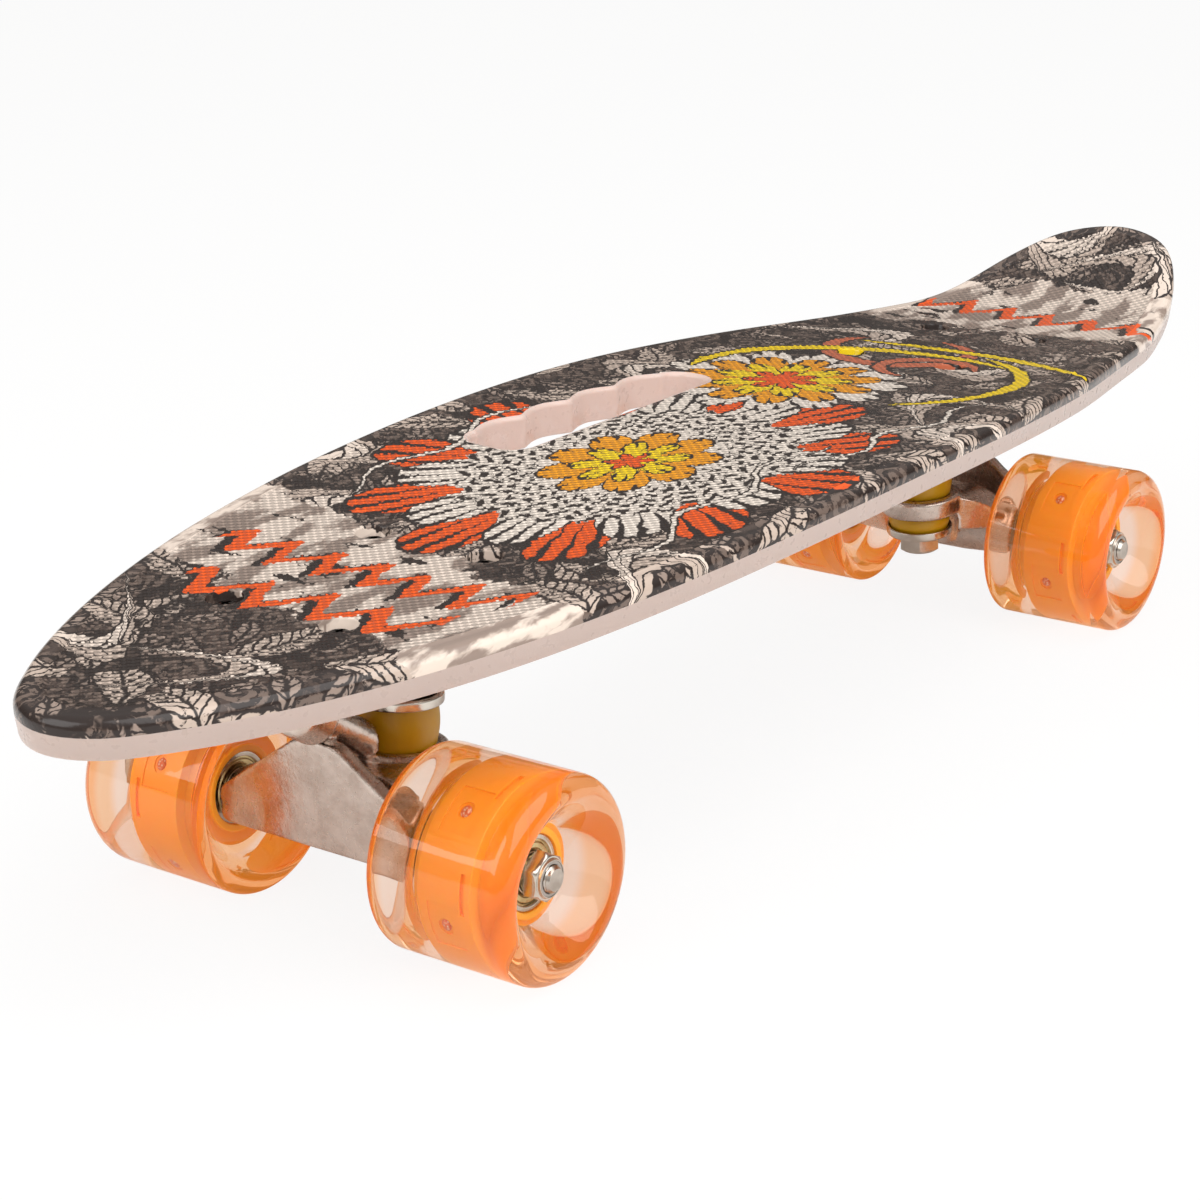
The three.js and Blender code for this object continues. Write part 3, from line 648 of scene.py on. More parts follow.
def light_band(sheet, middle, slope, half_width):
    """A torn pale band across the board, with clouds and dark blots."""
    torn = (sheet.noise(sheet.point, 0.045, 5.0, 0.6) - 0.5) * 38.0
    across = abs(sheet.x + sheet.y * slope - middle + torn)
    inside = 1.0 - sheet.step(across, half_width, half_width + 0.8)
    stretched = sheet.vector("MULTIPLY", sheet.point, (0.5, 1.4, 1.0))
    cloud = sheet.step(sheet.noise(stretched, 0.09, 4.0), 0.46, 0.56)
    stretched = sheet.vector("MULTIPLY", sheet.point, (1.6, 0.6, 1.0))
    blot = sheet.step(sheet.noise(stretched, 0.07, 4.0, 0.55), 0.62, 0.63)
    sheet.cover(inside, sheet.blend(cloud, light, stone))
    sheet.cover(inside * blot, blot_ink)


def zigzag(sheet, x, y, angle, length, pitch, swing, width):
    """A row of slanted brush strokes joined in a zigzag, with a dark shadow on one side."""
    along, across = sheet.turned(x, y, angle)
    drift = (sheet.noise(sheet.joined(along, 5.0, x), 0.07, 2.0) - 0.5) * 9.0

    def stroke(shift, thickness, colour):
        lean = along - across * 0.25 + shift
        rise = sheet.saw(lean / pitch) * 4.0 - 1.0
        rise = sheet.math("MINIMUM", sheet.math("MAXIMUM", rise * 1.15, -1.0), 1.0)
        dry = sheet.noise(sheet.joined(along * 0.3, across, x), 0.8) + 0.5
        reach = 1.0 - sheet.step(abs(along + shift), length / 2, length / 2 + 0.8)
        distance = abs(across + drift + shift - rise * swing)
        sheet.cover(sheet.step(dry * thickness - distance, 0.0, 0.5) * reach, colour)

    stroke(1.5, width * 1.15, ink)
    stroke(0.0, width, orange)


def rosette(sheet, place, petals_table, line_width, hatch):
    """Rings of pointed petals, largest first."""
    distance, angle = sheet.about(*place)
    for petals, inner, outer, turn, colour in petals_table:
        swing = abs(sheet.math("COSINE", angle * (petals / 2) + turn))
        edge = (1.0 - (1.0 - swing) ** 1.4) * (outer - inner) + inner
        depth = edge - distance
        stripe = sheet.saw(angle * (petals * hatch / math.tau))
        lines = sheet.step(stripe + depth / (outer - inner) * 0.3, 0.2, 0.28)
        sheet.cover(sheet.step(depth, 0.0, 0.5), petal_ink)
        blade = sheet.step(depth, line_width, line_width + 0.5)
        sheet.cover(blade * lines * sheet.worn(0.3), colour)


def lace(sheet, place, inner, outer):
    """A ring of fine scalloped line work."""
    distance, angle = sheet.about(*place)
    ripple = abs(sheet.math("SINE", angle * 13.0)) * 3.4
    rings = sheet.saw((distance + ripple) / 4.6)
    spokes = sheet.saw(angle * (44 / math.tau) + distance * 0.06)
    lines = sheet.math("MAXIMUM", sheet.step(rings, 0.2, 0.28), sheet.step(spokes, 0.3, 0.38))
    inside = sheet.step(distance - ripple, inner, inner + 0.6)
    inside = inside * sheet.step(outer - distance - ripple, 0.0, 0.6)
    sheet.cover(inside, blot_ink)
    sheet.cover(inside * lines * sheet.worn(0.38), white)


def arc(sheet, x, y, radius, width, middle, half_angle, colour):
    """A stripe along part of a circle, tapering to its ends."""
    distance, angle = sheet.about(x, y)
    share = sheet.math("WRAP", angle - middle, math.pi, -math.pi) / half_angle
    taper = sheet.bow(share)
    worn = sheet.worn(0.33, 0.05)
    gap = taper * width - abs(distance - radius)
    sheet.cover(sheet.step(gap, -1.2, -0.8) * sheet.step(taper, 0.02, 0.08), ink)
    sheet.cover(sheet.step(gap, 0.0, 0.4) * worn, colour)


def tendril(sheet, start, end, height, slope, wave, swing, width):
    """A waving line that tapers at both ends."""
    middle = (start + end) / 2
    taper = sheet.bow((sheet.x - middle) / ((end - start) / 2))
    centre = sheet.math("SINE", sheet.x / wave) * swing + (sheet.x - middle) * slope + height
    across = abs(sheet.y - centre)
    shadow = sheet.step(taper * width + 0.9 - across, 0.0, 0.5)
    sheet.cover(shadow * sheet.step(taper, 0.02, 0.1), tendril_ink)
    sheet.cover(sheet.step(taper * width - across, 0.0, 0.4), white)


def printed_film():
    sheet = Print(ink)
    grunge(sheet, 0.11, 0.5, soot)
    grunge(sheet, 0.2, 0.57, ash)
    scrolls(sheet, 16.0, 7.0, 11.0, ash)
    leaves(sheet, 23.0, 11.0, 4.4, 53.0, stone)
    leaves(sheet, 37.0, 18.0, 8.0, 0.0, pale)
    grunge(sheet, 0.028, 0.56, ink)
    for place in great_leaves:
        great_leaf(sheet, *place)
    for place in light_bands:
        light_band(sheet, *place)
    rosette(sheet, large_flower, large_petals, 1.4, 6)
    lace(sheet, large_flower, *lace_radii)
    rosette(sheet, large_flower, heart_petals, 1.1, 3)
    rosette(sheet, small_flower, small_petals, 1.0, 3)
    for place in copper_rings:
        arc(sheet, *place, copper)
    for place in yellow_arcs:
        arc(sheet, *place, yellow)
    for place in tendrils:
        tendril(sheet, *place)
    for place in zigzags:
        zigzag(sheet, *place)
    # painted shade: the gaps between the woven domes are darkened in the colour, standing in for their
    # occlusion
    hollow = (1.0 - sheet.step(sheet.dome, -0.35, 0.3)) * sheet.woven * 0.4
    height = sheet.dome * sheet.woven + sheet.noise(sheet.flat, 0.9, 2.0) * 0.1
    return sheet.set(
        Base_Color=sheet.blend(hollow, sheet.colour, painted_gap_shade),
        Roughness=sheet.noise(sheet.flat, 0.08) * 0.1 + sheet.woven * 0.1 + 0.12,
        Normal=sheet.bump(height, weave_depth),
        Specular_IOR_Level=0.35,
    )


# Materials
def soft(weight, radius, scale):
    """Inputs of a shader that light enters: how much, how far per colour, and the scale."""
    return {"Subsurface_Weight": weight, "Subsurface_Radius": radius, "Subsurface_Scale": scale}


def moulded(name, colour, shade, cloud, grain, relief, detail=3.0, **inputs):
    """A moulded material with cloudy tone; grain is (scale, spread, least), relief (scale, depth)."""
    look = Look(name)
    place = look.place()
    return look.set(
        Base_Color=look.blend(look.noise(place, cloud, detail), linear(*colour), linear(*shade)),
        Roughness=look.noise(place, grain[0], detail) * grain[1] + grain[2],
        Normal=look.bump(look.noise(place, relief[0], detail), relief[1]),
        **inputs,
    )


def milky_plastic():
    """Milky moulded plastic with specks, and painted light: lighter round the handle."""
    look = Look("milky_plastic")
    place = look.place()
    cloud = look.noise(place, 0.02)
    speck = look.step(look.noise(place, 0.6, 4.0, 0.7), 0.62, 0.72)
    x, y = look.split(place)[:2]
    # painted light: the plastic round the handle is lighter in its colour, where its walls look lit
    near = 1.0 - look.step(abs(x - handle_mid_x * 1000.0), 56.0, 66.0)
    near = near * (1.0 - look.step(abs(y - handle_inner_y * 1000.0), 26.0, 32.0))
    tint = look.blend(cloud, linear(194, 175, 166), linear(184, 165, 156))
    tint = look.blend(near, tint, linear(214, 190, 180))
    return look.set(
        Base_Color=look.blend(speck * 0.12, tint, linear(168, 146, 136)),
        Roughness=look.noise(place, 0.3) * 0.14 + 0.22,
        Normal=look.bump(look.noise(place, 1.1), 0.00006),
        **soft(0.35, (1.0, 0.75, 0.6), 0.003),
    )


def metal(name, colour, shade, scale, spread, least, relief):
    """A bare metal with cloudy tone, and roughness and bump from its grain."""
    look = Look(name)
    place = look.place()
    grain = look.noise(place, scale, 4.0, 0.6)
    cloud = look.step(look.noise(place, 0.12, 4.0, 0.6), 0.35, 0.7)
    return look.set(
        Base_Color=look.blend(cloud, linear(*colour), linear(*shade)),
        Roughness=grain * spread + least,
        Normal=look.bump(grain, relief),
        Metallic=1.0,
    )


def clear_urethane():
    """Clear urethane with painted light: orange at its lips and a glowing volume. Shadow rays pass, so that
    what it holds is lit.
    """
    look = Look("clear_urethane")
    place = look.place()
    ripple = look.noise(place, 0.05, 2.0)
    z = look.split(place)[2]
    # painted light: the lips are tinted orange in the colour, standing in for the core's light reflected
    # inside the clear urethane
    painted_lip_glow = look.math("MAXIMUM", look.step(z, 15.5, 19.0), look.step(z * -1.0, 19.0, 21.5))
    tint = look.blend(ripple, linear(246, 226, 213), linear(241, 219, 204))
    look.set(
        Base_Color=look.blend(painted_lip_glow * 0.8, tint, linear(252, 172, 96)),
        Roughness=look.step(look.noise(place, 0.35), 0.55, 0.75) * 0.03 + 0.015,
        Normal=look.bump(ripple, 0.00012),
        Transmission_Weight=1.0,
        IOR=1.48,
    )
    passing = look.node("BsdfTransparent", {"Color": linear(255, 238, 226)})[0]
    shadow = look.node("LightPath")["Is Shadow Ray"]
    look.show(look.node("MixShader", {0: shadow, 1: look.shader.outputs[0], 2: passing})[0])
    loss = look.node("VolumeAbsorption", {"Color": (0.0, 0.0, 0.0, 1.0), "Density": 10.0})[0]
    # painted light: the urethane glows orange inside, standing in for the core's light scattered in it
    painted_volume_glow = look.node("Emission", {"Color": (0.95, 0.36, 0.035, 1.0), "Strength": 9.0})[0]
    look.show(look.node("AddShader", {0: loss, 1: painted_volume_glow})[0], "Volume")
    return look.material


def led_lens():
    look = Look("led_lens")
    facets = Field(look, look.cells(look.place(), 1.4, 1.0)["Distance"])
    # painted glints: the colour is pale at the middle of each facet
    return look.set(
        Base_Color=look.blend(look.step(facets, 0.2, 0.6), linear(255, 228, 214), linear(230, 112, 76)),
        Roughness=facets * 0.3 + 0.1,
        Normal=look.bump(facets, 0.0004),
    )


def floor_white():
    """The pale floor, which glows to the camera so that it stays even."""
    look = Look("floor_white")
    place = look.node("TexCoord")["Object"]
    tone = look.blend(look.noise(place, 3.0, 2.0), linear(247, 246, 245), linear(243, 242, 241))
    look.set(Base_Color=tone, Roughness=0.8, Specular_IOR_Level=0.0)
    glow = look.node("Emission")[0]
    share = look.seen() * floor_glow
    look.show(look.node("MixShader", {0: share, 1: look.shader.outputs[0], 2: glow})[0])
    return look.material


materials = {
    "film": printed_film(),
    "deck": milky_plastic(),
    "cast": metal("cast_aluminium", (208, 194, 184), (186, 170, 159), 0.5, 0.2, 0.16, 0.00012),
    "zinc": metal("zinc_steel", (205, 198, 188), (184, 174, 162), 0.8, 0.16, 0.12, 0.00003),
    "axle": metal("axle_steel", (190, 182, 172), (160, 150, 140), 1.2, 0.16, 0.14, 0.00003),
    "screw": metal("dark_screw", (66, 60, 57), (44, 40, 38), 0.8, 0.2, 0.24, 0.00004),
    "bearing": metal("bearing_steel", (204, 196, 184), (176, 166, 150), 0.8, 0.12, 0.08, 0.00002),
    "shield": metal("bearing_shield", (202, 184, 138), (176, 154, 108), 0.7, 0.14, 0.14, 0.00004),
    "bushing": moulded(
        "bushing_urethane", (204, 160, 6), (180, 130, 4), 0.08, (0.4, 0.15, 0.3), (0.8, 0.00005),
        **soft(0.4, (1.0, 0.6, 0.1), 0.003),
    ),
    "cup": moulded("pivot_cup_plastic", (48, 46, 45), (34, 32, 31), 0.3, (0.8, 0.16, 0.5), (1.5, 0.00004)),
    "nylon": moulded(
        "lock_ring_nylon", (176, 168, 160), (150, 142, 134), 0.3, (0.8, 0.16, 0.4), (1.5, 0.00004),
    ),
    "clear": clear_urethane(),
    # painted light: the core glows faintly orange by its emission, though it is no lamp
    "core": moulded(
        "orange_core", (252, 172, 50), (250, 156, 34), 0.06, (0.5, 0.1, 0.3), (0.6, 0.00005), 2.0,
        **soft(0.6, (1.0, 0.4, 0.1), 0.006), Emission_Color=linear(255, 130, 30), Emission_Strength=0.12,
    ),
    "led": led_lens(),
}


# Mesh helpers; a solid is a list of points and a list of faces
def add_object(name, vertices, faces, names, indexes=None):
    """A mesh object with welded points, outward faces and smooth shading up to an angle."""
    mesh = bpy.data.meshes.new(name)
    mesh.from_pydata([tuple(v) for v in vertices], [], [tuple(f) for f in faces])
    for key in names:
        mesh.materials.append(materials[key])
    if indexes is not None:
        mesh.polygons.foreach_set("material_index", indexes)
    shape = bmesh.new()
    shape.from_mesh(mesh)
    bmesh.ops.remove_doubles(shape, verts=shape.verts, dist=weld_distance)
    bmesh.ops.recalc_face_normals(shape, faces=shape.faces)
    shape.to_mesh(mesh)
    shape.free()
    made = bpy.data.objects.new(name, mesh)
    bpy.context.scene.collection.objects.link(made)
    return soften(made, math.radians(40))


def soften(made, angle=math.radians(38)):
    """Smooth shading up to an angle between faces."""
    made.data.shade_smooth()
    made.data.set_sharp_from_angle(angle=angle)
    return made


def rounded(corners, radius, closed=False, steps=4):
    """A profile with its corners rounded, each by no more than its edges allow."""
    points = [Vector(corner) for corner in corners]
    count = len(points)
    made = []
    for index, point in enumerate(points):
        if not closed and index in (0, count - 1):
            made.append(tuple(point))
            continue
        before = points[index - 1] - point
        after = points[(index + 1) % count] - point
        reach = min(radius, before.length * 0.45, after.length * 0.45)
        start = point + before.normalized() * reach
        end = point + after.normalized() * reach
        for step in range(steps + 1):
            share = step / steps
            bent = start * (1 - share) ** 2 + point * 2 * share * (1 - share) + end * share ** 2
            made.append(tuple(bent))
    return made


def arc_points(x, y, across, up, start, end, steps):
    """Points along an ellipse about (x, y), from one angle to another in quarter turns."""
    angles = [math.pi / 2 * (start + (end - start) * step / steps) for step in range(steps + 1)]
    return [(x + across * math.cos(angle), y + up * math.sin(angle)) for angle in angles]


def lathe(profile, sides, closed=False, flats=None, groove=None):
    """A (radius, height) profile turned about Z.

    flats holds the shape within a hexagon of that width; groove(angle, height) lessens the radius.
    """
    vertices = []
    faces = []
    rows = len(profile)
    for side in range(sides):
        angle = math.tau * side / sides
        limit = math.inf
        if flats is not None:
            turn = (angle + math.pi / 6) % (math.pi / 3) - math.pi / 6
            limit = flats / 2 / math.cos(turn)
        for radius, height in profile:
            reach = min(radius, limit)
            if groove is not None and reach > 0:
                reach -= groove(angle, height)
            vertices.append((reach * math.cos(angle), reach * math.sin(angle), height))
    for side in range(sides):
        here = side * rows
        there = (side + 1) % sides * rows
        for row in range(rows if closed else rows - 1):
            above = (row + 1) % rows
            faces.append((here + row, there + row, there + above, here + above))
    return vertices, faces


def loft(rows):
    """A solid through rows of equally many points, closed by the first and the last row."""
    count = len(rows[0])
    vertices = [point for row in rows for point in row]
    last = len(vertices) - count
    faces = [tuple(reversed(range(count))), tuple(range(last, last + count))]
    for start in range(0, last, count):
        for index in range(count):
            after = (index + 1) % count
            faces.append((start + index, start + after, start + count + after, start + count + index))
    return vertices, faces


def prism(outline, bottom, top):
    return loft([[(x, y, height) for x, y in outline] for height in (bottom, top)])


def box(low, high):
    corners = [(low[0], low[1]), (high[0], low[1]), (high[0], high[1]), (low[0], high[1])]
    return prism(corners, low[2], high[2])


def disc(radius, bottom, top, sides=small_sides):
    return lathe([(0, bottom), (radius, bottom), (radius, top), (0, top)], sides)


def moved(solid, matrix):
    vertices, faces = solid
    return [tuple(matrix @ Vector(v)) for v in vertices], faces


def shift(x=0.0, y=0.0, z=0.0):
    return Matrix.Translation((x, y, z))


def merged(solids):
    vertices = []
    faces = []
    for points, polygons in solids:
        start = len(vertices)
        vertices.extend(points)
        faces.extend(tuple(start + i for i in polygon) for polygon in polygons)
    return vertices, faces


def turned(name, profile, key, radius=0.0, sides=turned_sides, closed=True, frame_of=None, steps=4, **cut):
    """A turned object, its corners rounded, its axis laid along Z of a frame."""
    shape = rounded(profile, radius, closed, steps) if radius > 0 else profile
    solid = lathe(shape, sides, closed, **cut)
    return add_object(name, *(moved(solid, frame_of) if frame_of else solid), [key])


def taken(made):
    """The solid of an object, which goes."""
    solid = [tuple(v.co) for v in made.data.vertices], [tuple(p.vertices) for p in made.data.polygons]
    bpy.data.objects.remove(made)
    return solid


def bake(made):
    """Applies an object's modifiers to its mesh."""
    bpy.context.view_layer.update()
    evaluated = made.evaluated_get(bpy.context.evaluated_depsgraph_get())
    mesh = bpy.data.meshes.new_from_object(evaluated)
    made.modifiers.clear()
    made.data = mesh


def carve(made, key, solids):
    """Cuts a list of solids out of an object; the cut faces take the material of a key."""
    for solid in solids:
        cutter = add_object("cutter", *solid, [key])
        change = made.modifiers.new("cut", "BOOLEAN")
        change.operation = "DIFFERENCE"
        change.solver = "MANIFOLD"
        change.object = cutter
        bake(made)
        bpy.data.objects.remove(cutter)
    return made


def fused(name, solids, rounds):
    """One cast skin round overlapping solids, with soft fillets where they meet."""
    made = add_object(name, *merged(solids), ["cast"])
    remesh = made.modifiers.new("skin", "REMESH")
    remesh.mode = "VOXEL"
    remesh.voxel_size = voxel_size
    smooth = made.modifiers.new("fillets", "SMOOTH")
    smooth.factor = 0.5
    smooth.iterations = rounds
    bake(made)
    made.data.shade_smooth()
    return made


def joined_mesh(objects):
    """One mesh of several objects, keeping their materials."""
    bpy.ops.object.select_all(action="DESELECT")
    for made in objects:
        made.select_set(True)
    bpy.context.view_layer.objects.active = objects[0]
    bpy.ops.object.join()
    return objects[0].data


# Frames of the parts
facing = {"front": 1, "rear": -1}
hole_places = [
    (plate_shift_x + along * hole_length / 2, across * hole_width / 2)
    for along in (1, -1) for across in (1, -1)
]


def along_axle(hand, x=0.0, y=0.0):
    """The frame whose Z axis lies along an axle, to the left for hand 1 and to the right for -1."""
    return shift(x, y, wheel_radius) @ Matrix.Rotation(-hand * math.pi / 2, 4, "X")


def screw_places(truck):
    """Places of a truck's mounting screws on the deck."""
    return [(axle_x[truck] + facing[truck] * x, facing[truck] * y) for x, y in hole_places]


kingpin_frame = shift(-kingpin_setback, 0, ring_height) @ Matrix.Rotation(-kingpin_lean, 4, "Y")
pivot_cosine = math.cos(pivot_angle)
pivot_sine = math.sin(pivot_angle)
pivot_x = -kingpin_setback + pivot_reach * pivot_cosine
pivot_z = ring_height + pivot_reach * pivot_sine
pivot_frame = shift(pivot_x, 0, pivot_z) @ Matrix.Rotation(math.pi / 2 - pivot_angle, 4, "Y")

# Heights along the kingpin, from the ring's middle
seat_floor = ring_thickness / 2 - seat_depth
board_bushing_foot = seat_floor + seat_gap
board_bushing_top = board_bushing_foot + board_bushing_height
top_cup_foot = board_bushing_top + seat_gap
top_cup_top = top_cup_foot + cup_plate
road_bushing_top = -seat_floor - seat_gap
road_bushing_foot = road_bushing_top - road_bushing_height
low_cup_top = road_bushing_foot - seat_gap
low_cup_foot = low_cup_top - cup_plate
head_top = low_cup_foot - seat_gap
head_bottom = head_top - head_height
boss_foot = top_cup_top + seat_gap
plate_top = pad_bottom - seat_gap
plate_foot = plate_top - plate_thickness
nut_top = (plate_top - ring_height) / math.cos(kingpin_lean) - nut_recess
nut_foot = nut_top - nut_height
kingpin_hole = kingpin_radius + seat_gap
arm_face = wheel_track / 2 - core_half_width - seat_gap
arm_end = arm_face - speed_washer


# Deck surface
def cosine_fall(distance, reach):
    return (1 - np.cos(np.pi * np.minimum(1, distance / reach))) / 2


def kick_rise(x):
    run = np.maximum(0, kick_start_x - x)
    arc_run = kick_radius * math.sin(kick_angle)
    bent = kick_radius - np.sqrt(kick_radius ** 2 - np.minimum(run, arc_run) ** 2)
    return bent + np.maximum(0, run - arc_run) * math.tan(kick_angle)


def top_height(x, y):
    nose_side = deck_mid_height - nose_drop * cosine_fall(x - crown_x, deck_length / 2 - crown_x)
    tail_side = deck_mid_height - tail_drop * cosine_fall(crown_x - x, tail_drop_reach) + kick_rise(x)
    return np.where(x > crown_x, nose_side, tail_side) + concave_depth * (y / deck_half_width) ** 2


def surface_at(x, y):
    return float(top_height(np.array(x), np.array(y)))


def under_top(points, drop):
    return top_height(points[:, 0], points[:, 1]) - drop


def plan_curve():
    """Dense points of the deck's plan, counter-clockwise, through the outline shares."""
    left = [(along * deck_length / 2, across * deck_half_width) for along, across in outline_shares]
    right = [(x, -y) for x, y in reversed(left[1:-1])]
    knots = np.array(left + right)
    count = len(knots)
    made = []
    for index in range(count):
        p0, p1, p2, p3 = (knots[(index + k) % count] for k in (-1, 0, 1, 2))
        d0, d1, d2 = (math.sqrt(np.linalg.norm(b - a)) for a, b in ((p0, p1), (p1, p2), (p2, p3)))
        start = ((p1 - p0) / d0 - (p2 - p0) / (d0 + d1) + (p2 - p1) / d1) * d1
        end = ((p2 - p1) / d1 - (p3 - p1) / (d1 + d2) + (p3 - p2) / d2) * d1
        square = 3 * (p2 - p1) - 2 * start - end
        cube = 2 * (p1 - p2) + start + end
        for t in np.arange(segment_samples) / segment_samples:
            made.append(p1 + start * t + square * t ** 2 + cube * t ** 3)
    return np.array(made)


def evenly_spaced(loop, count):
    """A closed loop resampled to points at equal distances."""
    closed = np.vstack([loop, loop[:1]])
    steps = np.linalg.norm(np.diff(closed, axis=0), axis=1)
    run = np.concatenate([[0], np.cumsum(steps)])
    wanted = np.linspace(0, run[-1], count, endpoint=False)
    return np.stack([np.interp(wanted, run, closed[:, axis]) for axis in (0, 1)], axis=1)


outline = evenly_spaced(plan_curve(), outline_points)
outline_along = np.roll(outline, -1, axis=0) - np.roll(outline, 1, axis=0)
outline_along /= np.linalg.norm(outline_along, axis=1)[:, None]
outline_inward = np.stack([-outline_along[:, 1], outline_along[:, 0]], axis=1)


def outline_loop(inset):
    return outline + outline_inward * inset


def handle_loop(grow):
    """The handle's cut-out, grown evenly, with soft scallops on its outer side."""
    radius = handle_corner + grow
    half = handle_length / 2 + grow
    left = handle_mid_x - half + radius
    right = handle_mid_x + half - radius

    def outer_at(x):
        return handle_outer_y - grow - handle_taper * (x - handle_mid_x) / handle_length

    def corner(x, y, start):
        return arc_points(x, y, radius, radius, start, start + 1, corner_steps)

    inner = handle_inner_y + grow - radius
    points = corner(right, inner, 0) + corner(left, inner, 1)
    points += corner(left, outer_at(left - radius) + radius, 2)
    waves = scallop_count * scallop_steps
    for step in range(1, waves):
        bow = math.hypot(math.sin(math.pi * step / scallop_steps), cusp_softness) - cusp_softness
        x = left + (right - left) * step / waves
        points.append((x, outer_at(x) - scallop_depth * bow))
    points += corner(right, outer_at(right + radius) + radius, 3)
    return np.array(points)


def inside_loop(loop, points):
    """True for the points that lie inside a closed loop."""
    inside = np.zeros(len(points), bool)
    x, y = points[:, 0], points[:, 1]
    for (x0, y0), (x1, y1) in zip(loop, np.roll(loop, -1, axis=0)):
        crosses = (y0 > y) != (y1 > y)
        if crosses.any() and y1 != y0:
            inside ^= crosses & (x < (x1 - x0) * (y - y0) / (y1 - y0) + x0)
    return inside


def between(plans, points, outer_size=1.0, hole_size=1.0):
    """True for the points inside the first plan and outside the others, each scaled about its middle."""
    inside = np.ones(len(points), bool)
    for number, plan in enumerate(plans):
        middle = plan.mean(axis=0)
        size = hole_size if number else outer_size
        inside &= inside_loop(middle + (plan - middle) * size, points) != bool(number)
    return inside


class Shell:
    """Collects the deck's points, faces and materials, its woven mask and the print's places."""

    def __init__(self):
        self.vertices = []
        self.faces = []
        self.keys = []
        self.woven = []
        self.places = []

    def loop(self, points, heights, woven=0.0, places=None):
        start = len(self.vertices)
        self.vertices.extend((x, y, z) for (x, y), z in zip(points, heights))
        self.woven.extend([woven] * len(points))
        self.places.extend((x, y, 0.0) for x, y in (points if places is None else places))
        return list(range(start, len(self.vertices)))

    def rim(self, points):
        """A loop on the printed top."""
        return self.loop(points, under_top(points, 0.0), 1.0)

    def face(self, corners, key):
        self.faces.append(tuple(corners))
        self.keys.append(key)

    def wall(self, edge, shape, loop_at, key, height_at=under_top, least=None):
        """Strips from an edge along a shape of (offset, drop), whose first row is the edge.

        With a least offset the print's places are unrolled along the shape, down to that offset.
        """
        unrolled = shape[0][0]
        for before, (offset, drop) in zip(shape, shape[1:]):
            points = loop_at(offset)
            places = points
            if least is not None:
                unrolled = max(unrolled - math.dist(before, (offset, drop)), least)
                places = loop_at(unrolled)
            ring = self.loop(points, height_at(points, drop), 0.0, places)
            for index in range(len(ring)):
                after = (index + 1) % len(ring)
                self.face((edge[index], edge[after], ring[after], ring[index]), key)
            edge = ring
        return edge

    def sheet(self, rings, pitch, drop, key, woven):
        """Fills the region between an outer ring of points and its holes with triangles."""
        plans = [np.array([self.vertices[i][:2] for i in ring]) for ring in rings]
        low, high = plans[0].min(axis=0), plans[0].max(axis=0)
        xs = np.arange(low[0], high[0], pitch)
        ys = np.arange(low[1], high[1], pitch * math.sqrt(3) / 2)
        grid = np.array([(x + (row % 2) * pitch / 2, y) for row, y in enumerate(ys) for x in xs])
        grid = grid[between(plans, grid, 0.994, 1.08)]
        fixed = [i for ring in rings for i in ring]
        edges = []
        for ring in rings:
            start = len(edges)
            edges.extend((start + i, start + (i + 1) % len(ring)) for i in range(len(ring)))
        points = [Vector(self.vertices[i][:2]) for i in fixed] + [Vector(place) for place in grid]
        result = delaunay_2d_cdt(points, edges, [], 0, 1e-9)
        places = np.array([tuple(v) for v in result[0]])
        numbers = []
        for (x, y), origins in zip(places, result[3]):
            old = [o for o in origins if o < len(fixed)]
            if old:
                numbers.append(fixed[old[0]])
            else:
                numbers += self.loop([(x, y)], [surface_at(x, y) - drop], woven)
        middles = np.array([places[list(corners)].mean(axis=0) for corners in result[2]])
        for corners, wanted in zip(result[2], between(plans, middles)):
            if wanted:
                self.face((numbers[i] for i in corners), key)


def rolled(radius, steps):
    """Rows of an edge that rolls over from the top into a wall."""
    return arc_points(radius, radius, radius, radius, 3, 2, steps)


def bevel(offset, side):
    """Rows of the lower edge of the skirt or the handle's wall, turning to one side."""
    lower = edge_depth - edge_round * 0.3
    return [
        (offset, edge_depth - edge_round), (offset + side * edge_round * 0.3, lower),
        (offset + side * edge_round, edge_depth),
    ]


